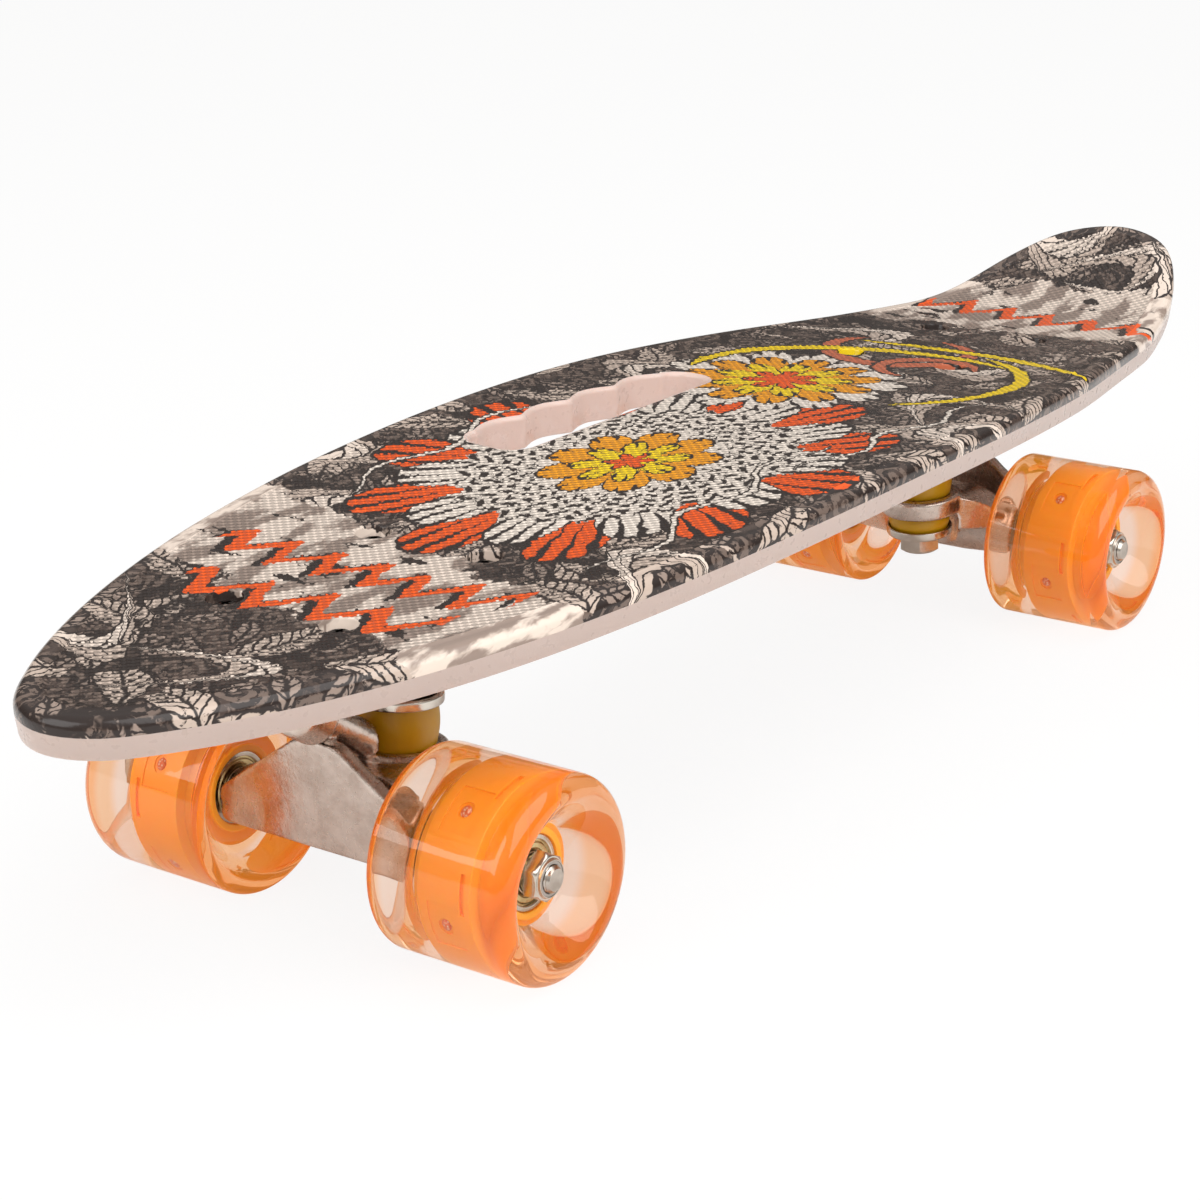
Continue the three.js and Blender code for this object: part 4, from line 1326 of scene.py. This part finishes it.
def deck_shell():
    """The moulded deck: printed top and rim, milky skirt, handle walls and underside."""
    shell = Shell()
    film, plain = 0, 1
    border = [
        (bead_inset + bead_width, 0.0), (bead_inset + bead_width / 2, -bead_height), (bead_inset, 0.0),
        ((bead_inset + rim_roll) / 2, 0.0), *rolled(rim_roll, roll_steps), (skirt_draft * 0.1, film_depth),
    ]
    inside = skirt_thickness + skirt_draft
    skirt = [
        border[-1], (skirt_draft * 0.5, (rim_roll + edge_depth) / 2), *bevel(skirt_draft, 1),
        *reversed(bevel(skirt_thickness, -1)), (inside, skin_thickness + edge_round),
        (inside + edge_round, skin_thickness),
    ]
    top_edge = shell.rim(outline_loop(border[0][0]))
    edge = shell.wall(top_edge, border, outline_loop, film, least=-math.inf)
    under_edge = shell.wall(edge, skirt, outline_loop, plain)
    wall = [
        *rolled(handle_lip, 4), (0.0, edge_depth / 2), *bevel(0.0, 1),
        (handle_collar - edge_round, edge_depth), (handle_collar, edge_depth - edge_round),
        (handle_collar, skin_thickness),
    ]
    handle_edge = shell.rim(handle_loop(handle_lip))
    under_handle = shell.wall(handle_edge, wall, handle_loop, plain)
    recess = [
        (recess_radius + recess_lip, 0.0), (recess_radius + recess_lip * 0.3, recess_lip * 0.3),
        (recess_radius, recess_lip), (recess_radius * 0.97, recess_depth * 0.85),
        (recess_radius * 0.9, recess_depth), (recess_radius * 0.5, recess_depth),
    ]
    turns = np.linspace(0, math.tau, recess_points, endpoint=False)
    recess_edges = []
    for place in screw_places("front") + screw_places("rear"):

        def circle_loop(radius):
            return np.array(place) + radius * np.stack([np.cos(turns), np.sin(turns)], axis=1)

        def recess_heights(points, drop):
            """The rim follows the deck's surface and the floor is flat."""
            if drop < recess_depth * 0.8:
                return under_top(points, drop)
            return np.full(len(points), surface_at(*place) - drop)

        recess_edges.append(shell.rim(circle_loop(recess[0][0])))
        floor_edge = shell.wall(recess_edges[-1], recess, circle_loop, film, recess_heights, recess_lip)
        shell.face(floor_edge, plain)
    shell.sheet([top_edge, handle_edge, *recess_edges], grid_pitch, 0.0, film, 1.0)
    shell.sheet([under_edge, under_handle], grid_pitch * 2, skin_thickness, plain, 0.0)
    made = add_object("deck_shell", shell.vertices, shell.faces, ["film", "deck"], shell.keys)
    mark_print(made, shell)
    return made


def mark_print(made, shell):
    """Stores the woven mask and the print's places, unrolled over the rim, on the deck's points."""

    def key(place):
        return tuple(round(c, 6) for c in place)

    woven = dict(zip(map(key, shell.vertices), shell.woven))
    places = dict(zip(map(key, shell.vertices), shell.places))
    points = [key(vertex.co) for vertex in made.data.vertices]
    mask = made.data.attributes.new("woven", "FLOAT", "POINT")
    mask.data.foreach_set("value", [woven.get(point, 0.0) for point in points])
    spread = made.data.attributes.new("print_place", "FLOAT_VECTOR", "POINT")
    spread.data.foreach_set("vector", [c for point in points for c in places.get(point, point)])


def rib_runs(start, end, place_at):
    """Stretches of a rib that lie inside the skirt and clear of the handle."""
    spots = np.linspace(start, end, int((end - start) / rib_step) + 1)
    points = np.array([place_at(spot) for spot in spots])
    free = inside_loop(outline_loop(skirt_thickness), points)
    free &= ~inside_loop(handle_loop(handle_collar - rib_overlap), points)
    groups = groupby(zip(points, free), key=lambda pair: pair[1])
    runs = [[point for point, wanted in group] for inside, group in groups if inside]
    return [run for run in runs if len(run) > 1]


def deck_ribs():
    """The grid of ribs under the deck."""
    top = skin_thickness - rib_overlap
    low = edge_depth - rib_edge_gap
    half = rib_thickness / 2
    ribs = []

    def add(start, end, place_at, to_side):
        for run in rib_runs(start, end, place_at):
            rows = []
            for place in run:
                left, right = place - to_side, place + to_side
                corners = ((left, top), (left, low), (right, low), (right, top))
                rows.append([(x, y, surface_at(x, y) - drop) for (x, y), drop in corners])
            ribs.append(loft(rows))

    for y in np.arange(0, deck_half_width, rib_spacing_across):
        for hand in ((1, -1) if y > 0 else (1,)):
            add(-deck_length / 2, deck_length / 2, lambda x: (x, hand * y), np.array((0, half)))
    for x in np.arange(-deck_length / 2 + rib_spacing_along, deck_length / 2, rib_spacing_along):
        add(-deck_half_width, deck_half_width, lambda y: (x, y), np.array((half, 0)))
    return add_object("deck_ribs", *merged(ribs), ["deck"])


def rounded_rectangle(length, width, corner, steps=8):
    x, y = length / 2 - corner, width / 2 - corner
    middles = ((x, y), (-x, y), (-x, -y), (x, -y))
    return [
        point for start, middle in enumerate(middles)
        for point in arc_points(*middle, corner, corner, start, start + 1, steps)
    ]


def truck_pad(truck):
    """The block under the deck that a truck is screwed to, open where the screw heads sit."""
    middle = axle_x[truck] + facing[truck] * plate_shift_x
    plan = rounded_rectangle(pad_length, pad_width, pad_corner)
    rows = []
    for inset, rise in ((pad_round, 0.0), (pad_round * 0.3, pad_round * 0.3), (0.0, pad_round)):
        along, across = 1 - 2 * inset / pad_length, 1 - 2 * inset / pad_width
        rows.append([(middle + x * along, y * across, pad_bottom + rise) for x, y in plan])
    rows.append([
        (middle + x, y, surface_at(middle + x, y) - skin_thickness + rib_overlap) for x, y in plan
    ])
    made = add_object(f"{truck}_pad", *loft(rows), ["deck"])
    cuts = []
    for x, y in screw_places(truck):
        floor = surface_at(x, y) - recess_depth
        room = disc(recess_radius + seat_gap, floor - seat_gap / 3, floor + overrun)
        cuts.append(moved(room, shift(x, y)))
    return soften(carve(made, "deck", cuts))


deck = deck_shell()
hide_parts("deck")
for piece in (deck, deck_ribs(), truck_pad("front"), truck_pad("rear")):
    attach(piece, "board")


# Wheel
def tyre_profile():
    """Closed section of the clear tyre: lining, bowl, crest and tread of both sides."""
    lining = hub_radius - lining_overlap

    def side(crest, corner, hand):
        half = wheel_width / 2 + hand * tyre_offset
        band_end = core_band_half - lining_overlap
        points = [
            (core_radius - lining_overlap, band_end), (lining, band_end), (lining, hub_end - lining_overlap),
            (bowl_radius, bowl_floor),
        ]
        for step in range(1, bowl_steps + 1):
            share = step / bowl_steps
            swollen = 1 - (1 - share) ** outboard_swell
            rise = swollen if hand > 0 else share ** 3 * (10 - 15 * share + 6 * share * share)
            radius = bowl_radius + (crest - bowl_radius) * share
            points.append((radius, bowl_floor + (half - bowl_floor) * rise))
        points += arc_points(crest, half - corner, wheel_radius - crest, corner, 1, 0, tread_steps)[1:]
        return [(radius, hand * height) for radius, height in points]

    outboard = side(crest_radius, outboard_corner, 1)
    inboard = side(inboard_crest_radius, inboard_corner, -1)
    return outboard + inboard[::-1]


def core_profile():
    shoulder = core_half_width - bearing_width
    half = [
        (core_radius, core_band_half), (hub_radius, core_band_half), (hub_radius, hub_end),
        (hub_bore, hub_end), (hub_bore, shoulder), (bearing_rim_radius, shoulder),
    ]
    return [(radius, -height) for radius, height in half[::-1]] + half


def bent_block(depth, height, width, middle, angle):
    """A block that follows the core's surface, reaching depth below it."""
    low, high = core_radius - depth, core_radius + overrun
    bottom, top = height - width / 2, height + width / 2
    rows = []
    for share in np.linspace(-0.5, 0.5, 13):
        turn = middle + angle * share
        corners = ((low, bottom), (low, top), (high, top), (high, bottom))
        rows.append([(reach * math.cos(turn), reach * math.sin(turn), z) for reach, z in corners])
    return loft(rows)


def led_frames():
    """The angle of each LED round the core, and the frame whose Z axis points out through it."""
    for index in range(led_count):
        angle = math.tau * (index + 0.5) / led_count + led_turn
        out = shift(core_radius, 0, led_height) @ Matrix.Rotation(math.pi / 2, 4, "Y")
        yield angle, Matrix.Rotation(angle, 4, "Z") @ out


def core_mesh():
    """Orange core with pockets and sockets for its LEDs, and slots beside them."""
    made = turned("core", core_profile(), "core", core_edge_round, turned_sides * 2)
    cuts = []
    for index, (angle, frame_of_led) in enumerate(led_frames()):
        cuts.append(bent_block(pocket_depth, led_height, pocket_width, angle, pocket_length / core_radius))
        cuts.append(moved(disc(socket_radius, -socket_depth, overrun), frame_of_led))
        cuts.append(bent_block(slot_depth, slot_height, slot_width, math.tau * index / led_count, slot_angle))
    return soften(carve(made, "core", cuts)).data


def led_mesh():
    """The four LED lenses of a wheel."""
    foot = (0, -socket_depth - led_dome), (led_radius, -socket_depth - led_dome)
    profile = [*foot, *arc_points(0, -socket_depth, led_radius, led_dome, 0, 1, 8)]
    solids = [moved(lathe(profile, led_sides), frame_of_led) for angle, frame_of_led in led_frames()]
    return add_object("leds", *merged(solids), ["led"]).data


def outer_ring_mesh():
    """Bearing outer ring with its groove, and the stepped shields set in both sides."""
    half = bearing_width / 2
    shield = half - shield_depth
    groove = bearing_rim_radius - shield_step
    ring = [
        (bearing_rim_radius, -half), (bearing_radius, -half), (bearing_radius, half),
        (bearing_rim_radius, half), (groove, shield), (groove, -shield),
    ]
    made = turned("ring", ring, "bearing", bearing_round)
    step = (bearing_rim_radius - shield_radius) / 4
    low, high = shield - shield_step, shield + shield_step
    cover = [
        (bearing_rim_radius, low), (bearing_rim_radius - step, low), (bearing_rim_radius - step * 1.4, high),
        (shield_radius + step * 0.8, high), (shield_radius + step * 0.5, shield), (shield_radius, shield),
    ]
    back = [(radius, -height) for radius, height in reversed(cover)]
    return joined_mesh([made, turned("shields", cover + back, "shield", shield_step)])


def inner_ring_mesh():
    half = bearing_width / 2
    inner, outer = bearing_bore, bearing_inner_radius
    ring = [(inner, -half), (outer, -half), (outer, half), (inner, half)]
    return turned("inner_ring", ring, "bearing", inner_ring_round).data


def hexagon(bore, foot, top, flats, bevels):
    """Section of a hexagon nut or head from its bore round to its top edge."""
    corner = flats / math.sqrt(3)
    (foot_inset, foot_rise), (top_inset, top_fall) = bevels
    return [
        (bore, foot), (flats / 2 - foot_inset, foot), (corner, foot + foot_rise), (corner, top - top_fall),
        (flats / 2 - top_inset, top),
    ]


def axle_nut_mesh():
    """Washer, hexagon with a domed collar, and the nylon locking ring, in the wheel's frame."""
    foot = core_half_width + seat_gap
    hex_foot = foot + speed_washer
    hex_top = hex_foot + axle_nut_height
    collar = hex_top + axle_nut_collar
    bore = axle_radius + seat_gap / 3
    washer = [(bore, foot), (speed_washer_radius, foot), (speed_washer_radius, hex_foot), (bore, hex_foot)]
    nut = [
        *hexagon(bore, hex_foot, hex_top, axle_nut_flats, axle_nut_bevels),
        (speed_washer_radius - collar_foot_gap, hex_top), (speed_washer_radius - collar_top_gap, collar),
        (nylon_radius, collar), (nylon_radius, collar - nylon_seat), (bore, collar - nylon_seat),
    ]
    low, high = collar - nylon_low, collar - nylon_high
    ring = [(bore, low), (nylon_radius, low), (nylon_radius, high), (bore, high)]
    return joined_mesh([
        turned("washer", washer, "zinc", washer_round),
        turned("hexagon", nut, "zinc", axle_nut_round, flats=axle_nut_flats),
        turned("nylon", ring, "nylon", washer_round),
    ])


def thread(angle, height):
    """Depth of a helical thread."""
    turns = height / thread_pitch - angle / math.tau
    return thread_depth * abs(2 * (turns - math.floor(turns)) - 1)


def axle_mesh():
    """Axle rod along Z through both wheels, threaded at its ends."""
    start = axle_half_length - thread_length
    end = axle_half_length - axle_chamfer
    heights = np.linspace(start, end, int(thread_length / thread_pitch * thread_steps) + 1)
    half = [
        (axle_radius, 0.0), (axle_radius, start - axle_chamfer), *((axle_radius, z) for z in heights),
        (axle_radius - axle_chamfer, axle_half_length), (0.0, axle_half_length),
    ]

    def groove(angle, height):
        threaded = start <= abs(height) < axle_half_length - axle_chamfer * 0.9
        return thread(angle, abs(height)) if threaded else 0.0

    profile = [(radius, -height) for radius, height in half[::-1]] + half[1:]
    return soften(turned("axle", profile, "axle", 0.0, small_sides, False, groove=groove)).data


# Truck
def web_solid():
    """The hanger's leaning web, with a rimmed pocket in its back."""

    def web_outline(inset):
        wide = web_half_width - inset * 1.4
        foot, shoulder, top = web_foot + inset, web_shoulder - inset, web_top - inset
        return [
            (-wide, foot), (wide, foot), (wide, shoulder), (web_top_half_width, top),
            (-web_top_half_width, top), (-wide, shoulder),
        ]

    stand = Matrix(((0, 0, 1, 0), (1, 0, 0, 0), (0, 1, 0, 0), (0, 0, 0, 1)))
    lean = shift(0, 0, wheel_radius) @ Matrix.Rotation(web_lean, 4, "Y") @ shift(0, 0, -wheel_radius)
    back = arm_mid_radius - web_thickness
    plate = prism(rounded(web_outline(0), web_round, True), back, arm_mid_radius)
    hollow = prism(rounded(web_outline(web_rim), web_pocket_round, True), back - overrun, back + web_pocket)
    web = add_object("web", *moved(plate, lean @ stand), ["cast"])
    return taken(carve(web, "cast", [moved(hollow, lean @ stand)]))


def gusset():
    """Valley between the ring and both arms: its top falls from the ring's height to the arms'."""
    crown = ring_height + seat_floor
    level = ring_radius * 0.8
    shares = np.linspace(1, 0, gusset_columns + 1)
    rows = []
    for y in np.linspace(-gusset_half_width, gusset_half_width, gusset_rows + 1):
        share = min(1, max(0, (abs(y) - level) / (gusset_half_width - level)))
        near = max(0, 1 - share) ** 1.6
        reach = kingpin_setback * near + arm_mid_radius * 0.7 * (1 - near)
        top = crown - (crown - gusset_end_height) * (1 - math.cos(math.pi * share)) / 2
        upper = [(-reach * column, y, top) for column in shares]
        rows.append(upper + [(x, y, gusset_bottom) for x, y, z in reversed(upper)])
    return loft(rows)


def hanger_mesh():
    """Cast hanger: half-round arms, leaning web, gussets, ring and pivot stem, with its speed washers."""
    arm = [
        (0, 0), (arm_mid_radius, 0), (arm_mid_radius, arm_mid_half),
        (arm_end_radius, arm_end - arm_tip_length), (arm_tip_radius, arm_end), (0, arm_end),
    ]
    vertices, faces = lathe(arm, small_sides)
    flat = [(min(x, arm_flat), y, z) for x, y, z in vertices], faces
    neck_foot = -pivot_reach + ring_radius * 0.9
    neck_run = pivot_reach - housing_reach
    neck = [
        (0, neck_foot), (neck_radius, neck_foot), (neck_radius, -neck_run * 0.72),
        (neck_waist, -neck_run * 0.5), (stem_radius * 1.1, -housing_reach - seat_gap),
        (stem_radius, -housing_reach), (stem_radius, stem_tip - stem_radius * 0.6),
        (stem_radius * 0.6, stem_tip), (0, stem_tip),
    ]
    arms = [moved(flat, along_axle(hand)) for hand in (1, -1)]
    stem = moved(lathe(neck, small_sides), pivot_frame)
    body = fused("hanger", [*arms, web_solid(), gusset(), stem], 2)
    half = ring_thickness / 2
    above = moved(disc(relief_radius, half, boss_foot + overrun), kingpin_frame)
    below = moved(disc(relief_radius, head_bottom - overrun, -half), kingpin_frame)
    carve(body, "cast", [above, below])
    ring = rounded([(0, -half), (ring_radius, -half), (ring_radius, half), (0, half)], ring_round)
    solids = [taken(body), moved(lathe(ring, turned_sides), kingpin_frame)]
    made = fused("hanger", solids, fillet_rounds)
    carve(made, "cast", [
        moved(disc(ring_bore, -ring_thickness, ring_thickness), kingpin_frame),
        moved(disc(seat_radius, seat_floor, seat_floor + overrun, turned_sides), kingpin_frame),
        moved(disc(seat_radius, -seat_floor - overrun, -seat_floor, turned_sides), kingpin_frame),
    ])
    foot = arm_end - washer_round
    washer = [(0, foot), (speed_washer_radius, foot), (speed_washer_radius, arm_face), (0, arm_face)]
    washers = [
        turned("washer", washer, "zinc", washer_round, small_sides, False, along_axle(hand))
        for hand in (1, -1)
    ]
    return joined_mesh([soften(made), *washers])


def baseplate_mesh():
    """Cast baseplate: plate, kingpin boss, pivot housing on its block, and the rib between them."""
    plan = rounded_rectangle(plate_length, plate_width, plate_corner)
    plate = prism(plan, plate_foot, plate_top + plate_excess)
    boss = [
        (0, boss_foot), (boss_radius, boss_foot), (boss_root_radius, nut_foot), (boss_root_radius, nut_top),
        (0, nut_top),
    ]
    dome = arc_points(0, housing_reach, housing_radius, housing_dome, 0, 1, 8)
    housing = [(0, -housing_reach), (housing_radius, -housing_reach), *dome]
    front_x = pivot_x - housing_reach * pivot_cosine - housing_radius * pivot_sine
    front_z = pivot_z - housing_reach * pivot_sine + housing_radius * pivot_cosine
    back_x = pivot_x + (housing_reach + housing_dome) * pivot_cosine
    back_z = pivot_z + (housing_reach + housing_dome) * pivot_sine
    block = [
        (front_x, front_z), (pivot_x, pivot_z), (back_x, back_z), (back_x + plate_rib, plate_top),
        (front_x - plate_rib, plate_top),
    ]
    rib = [
        (-kingpin_setback, front_z), (front_x + plate_rib, front_z), (front_x + plate_rib, plate_top),
        (-kingpin_setback, plate_top),
    ]
    stand = Matrix.Rotation(math.pi / 2, 4, "X")
    half = housing_radius * 0.9
    made = fused("baseplate", [
        moved(plate, shift(plate_shift_x)),
        moved(lathe(boss, small_sides), kingpin_frame),
        moved(lathe(housing, small_sides), pivot_frame),
        moved(prism(block, -half, half), stand),
        moved(prism(rib, -plate_rib / 2, plate_rib / 2), stand),
    ], fillet_rounds)
    low = (plate_shift_x - plate_length, -plate_width, plate_top)
    high = (plate_shift_x + plate_length, plate_width, plate_top + overrun * 4)
    cuts = [
        box(low, high),
        moved(disc(cup_outer_radius + seat_gap / 3, -pivot_reach, housing_reach), pivot_frame),
        moved(disc(kingpin_hole, boss_foot - overrun, nut_foot + overrun), kingpin_frame),
    ]
    hole = disc(screw_radius + seat_gap, plate_foot - overrun, plate_top + overrun)
    cuts += [moved(hole, shift(x, y)) for x, y in hole_places]
    return soften(carve(made, "cast", cuts)).data


def pivot_cup_mesh():
    inside = stem_radius + seat_gap
    top = housing_reach - seat_gap
    foot = -housing_reach - cup_reach
    cup = [
        (inside, foot), (cup_outer_radius, foot), (cup_outer_radius, top), (0, top), (0, top - cup_floor),
        (inside, top - cup_floor),
    ]
    return turned("pivot_cup", cup, "cup", cup_round, small_sides, frame_of=pivot_frame).data


def kingpin_mesh():
    """Hex bolt with a chamfered head, a washer face and a rounded shank end."""
    end = nut_top - seat_gap
    head = hexagon(0, head_bottom, head_top, head_flats, head_bevels)
    profile = [*head, (kingpin_radius, head_top), (kingpin_radius, end), (0, end)]
    return turned(
        "kingpin", profile, "zinc", kingpin_round, closed=False, frame_of=kingpin_frame, flats=head_flats,
    ).data


def kingpin_nut_mesh():
    nut = hexagon(kingpin_hole, nut_foot, nut_top, head_flats, kingpin_nut_bevels)
    profile = [*nut, (kingpin_hole, nut_top)]
    return turned(
        "kingpin_nut", profile, "zinc", kingpin_nut_round, frame_of=kingpin_frame, flats=head_flats,
    ).data


def bushing_mesh(radius, foot, top):
    """Barrel bushing with rounded edges."""
    end = radius - bushing_bulge
    low, high = foot + bushing_edge, top - bushing_edge
    profile = [(kingpin_hole, foot)]
    profile += arc_points(end - bushing_edge, low, bushing_edge, bushing_edge, -1, 0, 4)
    for share in np.arange(1, 12) / 12:
        profile.append((end + bushing_bulge * math.sin(math.pi * share), low + (high - low) * share))
    profile += arc_points(end - bushing_edge, high, bushing_edge, bushing_edge, 0, 1, 4)
    profile.append((kingpin_hole, top))
    return turned("bushing", profile, "bushing", frame_of=kingpin_frame).data


def cup_washer_mesh(radius, plate_face, outer_face):
    """Pressed cup washer; its lip holds the bushing's edge."""
    lip = plate_face + math.copysign(cup_lip, plate_face - outer_face)
    wall = radius - cup_wall
    profile = [
        (kingpin_hole, outer_face), (radius, outer_face), (radius, lip), (wall, lip), (wall, plate_face),
        (kingpin_hole, plate_face),
    ]
    return turned("cup_washer", profile, "zinc", cup_washer_round, frame_of=kingpin_frame, steps=6).data


def screw_mesh(floor_height):
    """Cross-head screw with its lock nut run on."""
    head_foot = floor_height + seat_gap
    head_edge = head_foot + screw_head_edge
    head = head_foot + screw_head_height
    nut_face = plate_foot - seat_gap
    nut_low = nut_face - screw_nut_height
    tip = nut_low - screw_tail + screw_tip
    rows = np.arange(screw_thread_rows) / screw_thread_rows
    profile = [(0, tip - screw_tip), (screw_radius - screw_tip, tip - screw_tip)]
    profile += [(screw_radius, tip + (screw_tail + screw_thread_run) * row) for row in rows]
    profile += [
        (screw_radius, head_foot), (screw_head_radius - screw_head_inset, head_foot),
        (screw_head_radius, head_edge),
    ]
    for angle in math.pi / 2 * np.arange(1, 8) / 7:
        rise = (head - head_edge) * math.sin(angle)
        profile.append((screw_head_radius * math.cos(angle * 0.94), head_edge + rise))
    profile.append((0, head))

    def groove(angle, height):
        return thread(angle, height) * 0.7 if height < nut_low else 0.0

    made = turned("screw", profile, "screw", 0.0, small_sides, False, groove=groove)
    x, y = cross_length / 2, cross_width / 2
    low, high = head - cross_depth, head + overrun
    soften(carve(made, "screw", [box((-x, -y, low), (x, y, high)), box((-y, -x, low), (y, x, high))]))
    bore = screw_radius - screw_nut_inset
    nut = [*hexagon(bore, nut_low, nut_face, screw_nut_flats, screw_nut_bevels), (bore, nut_face)]
    return joined_mesh([made, turned("screw_nut", nut, "screw", screw_nut_round, flats=screw_nut_flats)])


def linked(name, mesh, matrix):
    made = bpy.data.objects.new(name, mesh)
    made.matrix_world = matrix
    bpy.context.scene.collection.objects.link(made)
    return made


def show(name, mesh, matrix, body, node=None):
    """Places a piece in the scene, ties it to its body and hides its CAD node."""
    made = linked(name, mesh, matrix)
    if node is not None:
        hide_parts(node)
    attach(made, body)


in_place = {made.name for made in bpy.context.scene.objects}
leds = led_mesh()
outer_ring = outer_ring_mesh()
inner_ring = inner_ring_mesh()
axle_nut = axle_nut_mesh()
wheel_meshes = {
    "tyre": (turned("tyre", tyre_profile(), "clear", sides=turned_sides * 2).data, "clear_urethane"),
    "wheel_core": (core_mesh(), "orange_core"),
}
hanger_meshes = {
    "hanger": (hanger_mesh(), "cast_aluminium", Matrix.Identity(4)),
    "axle": (axle_mesh(), "zinc_steel", along_axle(-1)),
}
board_meshes = {
    "baseplate": (baseplate_mesh(), "cast_aluminium"),
    "pivot_cup": (pivot_cup_mesh(), "pivot_cup_plastic"),
    "kingpin": (kingpin_mesh(), "zinc_steel"),
    "kingpin_nut": (kingpin_nut_mesh(), "zinc_steel"),
    "boardside_cup_washer": (cup_washer_mesh(board_cup_radius, top_cup_foot, top_cup_top), "zinc_steel"),
    "roadside_cup_washer": (cup_washer_mesh(road_cup_radius, low_cup_top, low_cup_foot), "zinc_steel"),
}
bushings = {
    "boardside_bushing": (board_bushing_radius, board_bushing_foot, board_bushing_top),
    "roadside_bushing": (road_bushing_radius, road_bushing_foot, road_bushing_top),
}
screw_meshes = {
    truck: [screw_mesh(surface_at(x, y) - recess_depth) for x, y in screw_places(truck)] for truck in axle_x
}
bushing_meshes = {
    (truck, name): bushing_mesh(*sizes) for truck in axle_x for name, sizes in bushings.items()
}
for made in list(bpy.context.scene.objects):
    if made.type == "MESH" and made.name not in in_place:
        bpy.data.objects.remove(made)

for truck in axle_x:
    truck_frame = shift(axle_x[truck]) @ Matrix.Rotation(0 if truck == "front" else math.pi, 4, "Z")
    hanger_body = f"{truck}_hanger_body"
    for name, (mesh, slot) in board_meshes.items():
        show(f"{truck}_{name}_look", mesh, truck_frame, "board", f"{truck}_{name}")
    for name, (mesh, slot, matrix) in hanger_meshes.items():
        show(f"{truck}_{name}_look", mesh, truck_frame @ matrix, hanger_body, f"{truck}_{name}")
    for number, (mesh, (x, y)) in enumerate(zip(screw_meshes[truck], hole_places), 1):
        name = f"{truck}_screw_{number}"
        show(f"{name}_look", mesh, truck_frame @ shift(x, y), "board", name)
    for name, (radius, foot, top) in bushings.items():
        made = linked(f"{truck}_{name}_look", bushing_meshes[truck, name], truck_frame)
        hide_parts(f"{truck}_{name}")
        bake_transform(made)
    for side, hand in (("left", 1), ("right", -1)):
        wheel_frame = along_axle(hand, axle_x[truck], hand * wheel_track / 2)
        wheel = f"{truck}_{side}"
        wheel_body = f"{wheel}_wheel"
        for name, (mesh, slot) in wheel_meshes.items():
            show(f"{wheel}_{name}_look", mesh, wheel_frame, wheel_body, f"{wheel}_{name}")
        show(f"{wheel}_leds", leds, wheel_frame, wheel_body)
        show(f"{wheel}_axle_nut_look", axle_nut, wheel_frame, hanger_body, f"{wheel}_axle_nut")
        for place, out in (("outboard", 1), ("inboard", -1)):
            spot = wheel_frame @ shift(0, 0, out * (core_half_width - bearing_width / 2))
            start = f"{wheel}_{place}_bearing"
            show(f"{start}_outer_look", outer_ring, spot, wheel_body, f"{start}_outer_ring")
            show(f"{start}_inner_look", inner_ring, spot, hanger_body, f"{start}_inner_ring")


# Studio
def add_floor():
    plan = [(x * floor_half_size, y * floor_half_size, 0) for x, y in ((-1, -1), (1, -1), (1, 1), (-1, 1))]
    mesh = bpy.data.meshes.new("floor")
    mesh.from_pydata(plan, [], [(0, 1, 2, 3)])
    mesh.materials.append(floor_white())
    linked("floor", mesh, Matrix.Identity(4))


def add_world():
    """White to the camera; to the rest a grey room, lighter above and in front of the board."""
    world = bpy.data.worlds.new("studio")
    world.use_nodes = True
    graph = Graph(world.node_tree)
    way = graph.node("TexCoord")["Generated"]
    upward = graph.split(way)[2]
    front = graph.node("VectorMath", {0: way, 1: front_direction}, operation="DOT_PRODUCT")["Value"]
    low = graph.blend(graph.step(front, *front_range, "LINEAR"), back_tone, front_tone)
    sky = graph.blend(graph.step(upward, *sky_range, "LINEAR"), low, sky_tone)
    colour = graph.blend(graph.seen(), sky, plain_white)
    graph.put(colour, world.node_tree.nodes["Background"].inputs["Color"])
    bpy.context.scene.world = world


def aimed(place, target):
    """A frame at a place, looking at a target."""
    return (Vector(target) - Vector(place)).to_track_quat("-Z", "Y")


def add_lamp(name, place, size, power):
    lamp = bpy.data.lights.new(name, "AREA")
    lamp.shape = "RECTANGLE"
    lamp.size = size
    lamp.size_y = size
    lamp.energy = power
    linked(name, lamp, shift(*place) @ aimed(place, lamp_target).to_matrix().to_4x4())


def add_camera():
    lens = bpy.data.cameras.new("camera")
    lens.lens = camera_lens
    lens.sensor_width = sensor_width
    lens.clip_start, lens.clip_end = clip_range
    aim = shift(*camera_place) @ aimed(camera_place, camera_target).to_matrix().to_4x4()
    made = linked("camera", lens, aim @ Matrix.Rotation(camera_roll, 4, "Z"))
    bpy.context.scene.camera = made


add_floor()
add_world()
for name, place, size, power in lamps:
    add_lamp(name, place, size, power)
add_camera()
bpy.context.scene.view_settings.view_transform = "Standard"
